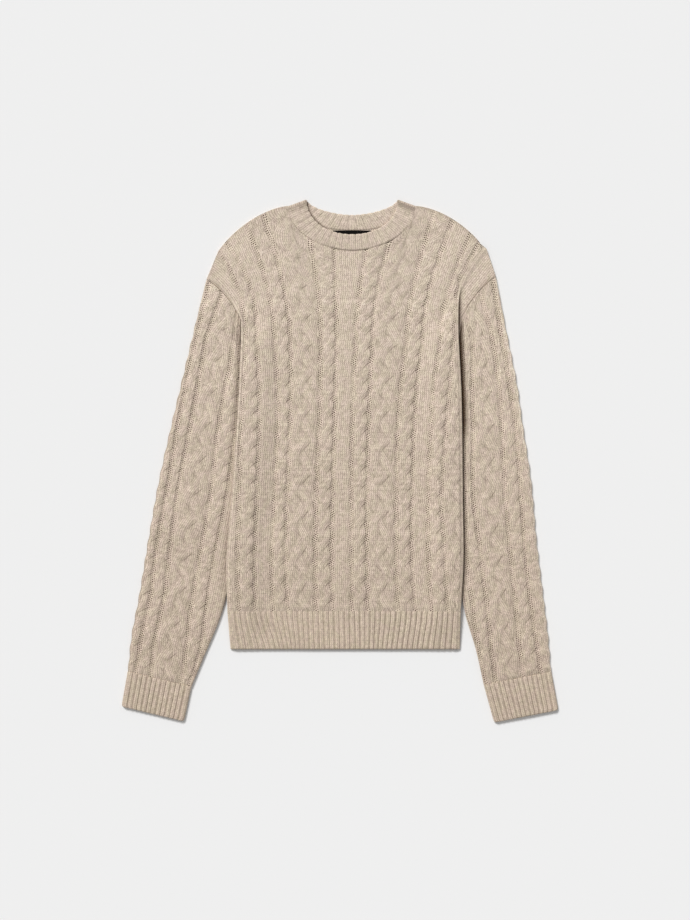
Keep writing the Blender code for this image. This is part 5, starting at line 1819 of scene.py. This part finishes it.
    def build_cuff(self) -> bpy.types.Object:
        """The ribbed cuff as a fine closed tube."""
        shares = np.append(np.linspace(0.0, 0.955, 24), [0.975, 0.988, 0.996, 1.0])
        height = mix(0.6, -self.cuff_length, shares)
        seam = self.sections[0]
        ends = []
        corner = 3.2 * (1.0 - roll_off(shares, 0.92, 0.085))
        for at_seam, at_end in ((seam.outer, self.cuff_outer), (seam.inner, self.cuff_inner)):
            across = mix(at_seam, at_end, shares) - math.copysign(1.0, at_end) * corner
            ends.append(np.stack(self.on(height, across), axis=-1))
        outer, inner = ends
        count = round((seam.inner - seam.outer) / self.cuff_pitch)
        ribs = np.arange(1, count * self.cuff_samples) / self.cuff_samples
        along = directions(outer, inner)
        start, end = outer + along * 1.5, inner - along * 1.5
        plan = mix(start[:, None, :], end[:, None, :], (ribs / count)[None, :, None])
        rims = mix(0.5, 1.0, roll_off(shares, 0.95, 0.051))
        rims = rims * mix(0.86, 1.0, ease(shares, 0.0, 0.05))
        courses = shares[:, None] * self.cuff_length / COURSE
        knit = RibStitch(self.cuff_pitch).knit(ribs, courses)
        swell = unevenness(plan[..., 0], plan[..., 1], self.cuff_uneven)
        up = mix(WALL + HOLLOW, SLEEVE_PLAIN + knit.rise + swell, rims[:, None])
        first, last = round_edges(outer, inner)
        for edge in (first, last):
            thinned = mix(WALL, edge[..., 2], rims[:, None])
            edge[..., 2] = np.where(edge[..., 2] > WALL, thinned, edge[..., 2])
        face = np.concatenate([first, np.dstack([plan, up]), last], axis=1)
        flank = self.flank(courses)
        picked = [0, 8, 16, len(shares) - 1]
        edges = outer[picked], inner[picked]
        boundaries = [mix(*edges, part) for part in (0.0, 0.25, 0.5, 0.75, 1.0)]
        whole = Knit.join([flank, knit, flank])
        return self.tube("rib_cuff", CUFF_FINISH, face, boundaries, whole)


LEFT_SLEEVE = Sleeve(
    "left", -1, -271.2, -328.2, 13.5, 52.5, -45.9, 50.6, LEFT_SHOULDER,
    (
        Section(0, -49.2, -36.5, -13.5, 33.0, 45.5, 49.2),
        Section(54, -56.5, -40.5, -20.0, 28.5, 49.5, 58.0),
        Section(116, -59.5, -41.8, -21.4, 21.5, 44.0, 67.4),
        Section(198, -65.5, -50.5, -30.5, 15.5, 37.5, 68.3),
        Section(287, -70.8, -55.5, -39.0, 10.5, 34.4, 63.5),
        Section(377, -72.3, -62.0, -43.5, -1.0, 26.0, 50.0),
        Section(435, -72.3, -64.5, -46.5, -5.0, 17.5, 30.5),
        Section(480, -72.5, -65.5, -49.5, -7.0, 9.5, 13.0),
        Section(516, -72.5, -66.0, -51.0, -9.5, -1.5, 1.2),
    ),
    (
        (16, 148, 281, 422, 563),
        (16, 148, 281, 422, 563),
        (36, 186, 334, 488),
        (12, 148, 286, 413, 540),
        (16, 148, 281),
    ),
    (
        Fold((-246.0, 214.0), (-182.0, 236.0), 12.0, 0.8),
        Fold((-232.0, 120.0), (-168.0, 170.0), 12.0, -0.9),
        Fold((-262.0, 40.0), (-196.0, 66.0), 14.0, 0.8),
        Fold((-290.0, -150.0), (-214.0, -170.0), 13.0, -0.8),
        Fold((-300.0, -250.0), (-230.0, -262.0), 12.0, 0.7),
    ),
)
RIGHT_SLEEVE = Sleeve(
    "right", 1, 266.3, -326.9, 11.0, 58.0, -51.2, 47.2, RIGHT_SHOULDER,
    (
        Section(0, -51.7, -36.0, -8.5, 33.5, 48.0, 51.7),
        Section(54, -57.5, -38.2, -12.4, 30.3, 49.5, 53.2),
        Section(116, -62.0, -41.0, -18.5, 24.8, 46.5, 58.8),
        Section(198, -68.0, -49.0, -26.0, 19.0, 40.0, 55.0),
        Section(287, -77.0, -59.0, -35.5, 12.5, 26.0, 46.0),
        Section(377, -81.0, -69.0, -49.0, -5.0, 10.0, 28.5),
        Section(435, -84.0, -71.5, -55.5, -14.5, -2.0, 11.0),
        Section(474, -84.0, -73.0, -58.0, -23.0, -8.0, 1.5),
        Section(508, -83.5, -73.5, -60.0, -30.0, -14.0, -6.5),
    ),
    (
        (10, 133, 262, 402, 542),
        (10, 133, 262, 402, 542),
        (29, 177, 325, 471),
        (-4, 123, 256, 386, 524),
        (10, 133, 262),
    ),
    (
        Fold((262.0, 226.0), (208.0, 196.0), 12.0, -0.8),
        Fold((276.0, 130.0), (222.0, 104.0), 13.0, 0.8),
        Fold((286.0, 20.0), (226.0, 6.0), 13.0, -0.8),
        Fold((300.0, -120.0), (240.0, -146.0), 13.0, 0.8),
        Fold((310.0, -240.0), (246.0, -250.0), 12.0, -0.7),
    ),
)


@dataclass
class Neckband:
    """The ribbed neckband: one ring, folded flat at its two tips."""

    wall: float = 2.5
    back_middle: float = 1.25
    front_middle: float = 4.85
    rib_rise: float = 0.42
    front_ribs: int = 21
    back_ribs: int = 15
    samples: int = 9
    start: float = 9.0
    bulge: float = 0.35
    overlap: float = 0.9
    pitch: float = 10.4
    courses: float = 9.5
    furrow: float = 0.075
    # Painted shade: in the furrows, along the seam, at the tips and ends, and beside the front half
    furrow_shade: float = 0.32
    seam_shade: float = 0.45
    tip_shade: float = 0.4
    end_shade: float = 0.3
    back_shade: float = 0.85

    def section(self) -> tuple[Array, Array]:
        """Shares of the band's height and of its thickness, round its section."""
        face = [0.015, *np.linspace(0.05, 0.9, 14)]
        inner = [(share, -1.0) for share in face]
        rounded = [(0.955, -0.96), (0.985, -0.62), (1.0, -0.2)]
        top = rounded + [(share, -across) for share, across in reversed(rounded)]
        outer = [(share, 1.0) for share in reversed(face)]
        shares, faces = zip(*(inner + top + outer))
        return np.array(shares), np.array(faces)

    def edges(self, angle: float, front: bool) -> tuple[Array, Array]:
        """(seam, top) places at an angle, on the front half or the back half."""
        curves = (FRONT_SEAM, FRONT_BAND_TOP) if front else (BACK_SEAM, BACK_BAND_TOP)
        seam, top = (np.array(curve.at(angle), float) for curve in curves)
        overlap = self.overlap if front else 0.0
        return seam - (top - seam) / np.linalg.norm(top - seam) * overlap, top

    def even_angles(self, front: bool, count: int) -> Array:
        """Angles between the tips, evenly spaced along the middle of the band."""
        angles = np.radians(np.linspace(self.start, 180.0 - self.start, 201))
        middles = np.array([sum(self.edges(angle, front)) / 2 for angle in angles])
        travelled = lengths(middles)
        return np.interp(np.linspace(0.0, travelled[-1], count + 1), travelled, angles)

    def row(
        self, seam: Array, top: Array, outward: tuple, middle: float, rib: float, ribbed: float
    ) -> Array:
        """Section points: outward is the outer face's normal, ribbed the face with the ribs."""
        shares, faces = self.section()
        reach = faces * self.wall / 2
        facing = np.clip(faces * ribbed, 0.0, 1.0)
        fade = ease(shares, 0.0, 0.08)
        rise = rib * self.rib_rise + self.bulge * np.sin(np.pi * shares)
        reach = reach + faces * facing * rise * fade
        along = seam + (top - seam) * shares[:, None]
        tooth = (rib - 0.6) * 0.9 * ease(shares, 0.9, 1.0) * abs(ribbed)
        along = along + (top - seam) / np.linalg.norm(top - seam) * tooth[:, None]
        x, y = along[:, 0] + outward[0] * reach, along[:, 1] + outward[1] * reach
        return np.stack([x, y, middle + outward[2] * reach], axis=-1)

    def tip_rows(self, side: int) -> list[Array]:
        """Rows round one of the folds, from the front half to the back half."""
        seam, top = self.edges(0.0 if side < 0 else math.pi, True)
        along = float(np.linalg.norm(top - seam))
        out = np.array([(seam[1] - top[1]) / along * -side, (top[0] - seam[0]) / along * -side])
        radius = (self.front_middle - self.back_middle) / 2
        rows = []
        for turn in np.radians(np.linspace(90.0, -90.0, 9)):
            inset = radius * math.cos(turn) - radius - self.wall / 2
            outward = (out[0] * math.cos(turn), out[1] * math.cos(turn), math.sin(turn))
            middle = self.back_middle + radius + radius * math.sin(turn)
            rows.append(self.row(seam + out * inset, top + out * inset, outward, middle, 0.0, 0.0))
        return rows

    def beside_front(self, points: Array) -> Array:
        """The painted shadow of the front half's top edge on the back half, towards the left tip.
        """
        angles = np.linspace(0.0, np.pi, 181)
        x, y = FRONT_BAND_TOP.at(angles)
        away = np.hypot(points[..., 0, None] - x, points[..., 1, None] - y).min(axis=-1)
        leftness = ease(points[..., 0], NECK_MIDDLE - 5.0, NECK_MIDDLE - 50.0)
        return self.back_shade * np.exp(-((away / 2.6) ** 2)) * leftness

    def build(self) -> bpy.types.Object:
        """The neckband as a closed ring."""
        halves, phases = [], []
        for front, ribs in ((True, self.front_ribs), (False, self.back_ribs)):
            face, middle = (1.0, self.front_middle) if front else (-1.0, self.back_middle)
            count = ribs * self.samples
            phase = np.arange(count + 1) / self.samples
            high = np.abs(np.sin(np.pi * phase)) ** 0.5
            rows = [
                self.row(*self.edges(angle, front), (0.0, 0.0, face), middle, rib, face)
                for angle, rib in zip(self.even_angles(front, count), high)
            ]
            halves.append(rows)
            phases.append(phase)
        tips = self.tip_rows(1), self.tip_rows(-1)
        rows = halves[0] + tips[0] + halves[1][::-1] + tips[1][::-1]
        flat = np.zeros(len(tips[0]))
        ribs = np.concatenate([phases[0], flat + 0.5, phases[1][::-1], flat + 0.5])
        points = np.stack([*rows, rows[0]])
        points = np.concatenate([points, points[:, :1]], axis=1)
        ribs = np.append(ribs, ribs[0])[:, None]
        shares = np.append(self.section()[0], self.section()[0][0])[None, :]
        stitch = RibStitch(self.pitch, self.furrow)
        knit = stitch.knit(ribs, shares * self.courses, self.furrow_shade)
        sizes = [len(part) for part in (halves[0], tips[0], halves[1], tips[1])]
        self.shade(knit, points, shares, sizes)
        shell = Shell()
        shell.grid(points, knit)
        return shell.finish("neck_rib_band", BAND_FINISH, weld=True)

    def shade(self, knit: Knit, points: Array, shares: Array, sizes: list[int]) -> None:
        """Paints shade in the furrows, more near the top edge and less to the right, along the
        seam, at the tips and the front half's ends, and the front half's shadow on the back half.

        Args:
            knit: the band's yarn.
            points: the band's points.
            shares: shares of the band's height, round its section.
            sizes: rows of the front half, the first tip, the back half and the other tip.
        """
        rightness = np.clip((points[..., 0] - NECK_MIDDLE) / NECK_HALF_WIDTH, -1.0, 1.0)
        knit.crease = knit.crease * mix(0.3, 1.15, ease(shares, 0.0, 0.8))
        knit.crease = knit.crease * (1.0 - 0.6 * ease(rightness, 0.0, 0.8))
        seam = (1.0 - ease(shares, 0.02, 0.1)) * ease(rightness, -0.75, -0.2)
        knit.darken(self.seam_shade * seam * (points[..., 1] < NECK_CORNER_Y - 30.0))
        front, tip, back = (
            np.repeat(flags, [*sizes, 1])[:, None]
            for flags in ((1, 0, 0, 0, 1), (0, 1, 0, 1, 0), (0, 0, 1, 0, 0))
        )
        knit.darken(self.tip_shade * tip)
        half = (sizes[0] - 1) / 2.0
        away = np.abs(np.arange(len(points)) - half) - half
        knit.darken(self.end_shade * (1.0 - ease(away, 0.0, -5.0))[:, None] * front)
        knit.darken(back * self.beside_front(points))


@dataclass
class NeckLabel:
    """The plain woven label at the back of the neck, folded along its top, as one thin slab."""

    width: float = 57.0
    height: float = 12.0
    thickness: float = 0.6
    corner: float = 0.25

    def build(self) -> bpy.types.Object:
        """The label."""
        bm = bmesh.new()
        bmesh.ops.create_cube(bm, size=MM)
        bmesh.ops.scale(bm, verts=bm.verts, vec=(self.width, self.height, self.thickness))
        y = NECK_CORNER_Y - BACK_NECK_DROP - self.height / 2
        place = Vector((NECK_MIDDLE, y, FRONT_INSIDE + self.thickness / 2))
        bmesh.ops.translate(bm, verts=bm.verts, vec=place * MM)
        bmesh.ops.subdivide_edges(bm, edges=bm.edges, cuts=5, use_grid_fill=True)
        for vert in bm.verts:
            vert.co.z += 0.05 * MM * math.sin(vert.co.x / MM / 5.0)
        bent_edges = [edge for edge in bm.edges if edge.calc_face_angle(0.0) > 1.0]
        rounding = {"offset": self.corner * MM, "segments": 2, "profile": 0.5}
        bmesh.ops.bevel(bm, geom=bent_edges, affect="EDGES", material=-1, **rounding)
        return make_object(bm, "neck_tape_label", TapeFinish().material())


@dataclass
class Studio:
    """The pale floor, the soft light and the camera straight above."""

    camera_x: float = 0.00735
    camera_y: float = 0.00105
    height: float = 2.994
    lens: float = 78.0
    sun: float = 2.78
    sun_width: float = 0.32
    sky: float = 0.42

    def build(self) -> None:
        """Makes the studio."""
        self.floor()
        self.lights()
        self.camera()

    def floor(self) -> None:
        """A wide pale floor."""
        bm = bmesh.new()
        bmesh.ops.create_grid(bm, x_segments=8, y_segments=8, size=6.0)
        material, nodes, shader = start_material("pale_floor", FLOOR_LIGHT)
        grain = nodes.noise(nodes.place(), 3.0)
        nodes.fill(shader, {
            "Base Color": nodes.blend(grain, opaque(FLOOR_DARK), opaque(FLOOR_LIGHT)),
            "Roughness": 0.9,
            "Specular IOR Level": 0.1,
        })
        make_object(bm, "studio_floor", material)

    def lights(self) -> None:
        """One broad light from the upper left and an even sky."""
        world = bpy.data.worlds.new("soft_sky")
        world.use_nodes = True
        background = world.node_tree.nodes["Background"].inputs
        background["Color"].default_value = opaque(WHITE)
        background["Strength"].default_value = self.sky
        bpy.context.scene.world = world
        light = bpy.data.lights.new("broad_light", "SUN")
        light.energy = self.sun
        light.angle = self.sun_width
        obj = place_object("broad_light", light)
        obj.rotation_mode = "QUATERNION"
        obj.rotation_quaternion = Vector((-0.5, 0.86, 0.92)).to_track_quat("Z", "Y")
        obj.location = (-1.0, 1.7, 2.5)

    def camera(self) -> None:
        """The camera, straight above."""
        data = bpy.data.cameras.new("camera")
        data.lens = self.lens
        data.sensor_width = 36.0
        data.clip_start, data.clip_end = 0.05, 50.0
        obj = place_object("camera", data)
        obj.location = (self.camera_x, self.camera_y, self.height)
        scene = bpy.context.scene
        scene.camera = obj
        scene.view_settings.view_transform = "Standard"
        scene.cycles.denoising_prefilter = "NONE"


@dataclass(frozen=True)
class Laid:
    """How a laid piece of cloth stands for its solid: its slot and the size that it was cut to."""

    node: str
    slot: str
    width: float
    length: float
    area: float
    rests_on: str = "studio_floor"

    def declare(self, obj: bpy.types.Object) -> None:
        """Ties a piece to its solid: puts it under the root and hides the solid."""
        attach(obj, "root")
        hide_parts(self.node)
        LOG.info("%s stands for %s", obj.name, self.node)


def main() -> None:
    """Builds the studio and the sweater, piece by piece."""
    logging.basicConfig(level=logging.INFO, format="%(name)s: %(message)s")
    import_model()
    Studio().build()
    stitch_group()
    purl_group()
    heather_group()
    for stroke in STROKES:
        stroke.group()
    hem = HemRib()
    back, rib_back, front = "back_knit_panel", "hem_back_rib", "front_knit_panel"
    steps = (
        (BackPanel().build, Laid("back_panel", "back_knit", 0.434, 0.608, 0.21)),
        (hem.build_back, Laid("hem_rib_back", "hem_back_knit", 0.337, 0.057, 0.019)),
        (LEFT_SLEEVE.build, Laid("sleeve_left", "sleeve_knit", 0.28, 0.6, 0.14)),
        (LEFT_SLEEVE.build_cuff, Laid("cuff_left", "cuff_knit", 0.2, 0.053, 0.0103)),
        (RIGHT_SLEEVE.build, Laid("sleeve_right", "sleeve_knit", 0.28, 0.6, 0.14)),
        (RIGHT_SLEEVE.build_cuff, Laid("cuff_right", "cuff_knit", 0.21, 0.058, 0.0118)),
        (FrontPanel().build, Laid("front_panel", "front_knit", 0.46, 0.61, 0.225, back)),
        (hem.build_front, Laid("hem_rib_front", "hem_knit", 0.37, 0.058, 0.0205, rib_back)),
        (Neckband().build, Laid("neckband", "neckband_knit", 0.42, 0.029, 0.0107, front)),
        (NeckLabel().build, Laid("neck_label", "label_weave", 0.057, 0.012, 0.00068, back)),
    )
    for build, laid in steps:
        laid.declare(build())


if __name__ == "__main__":
    main()
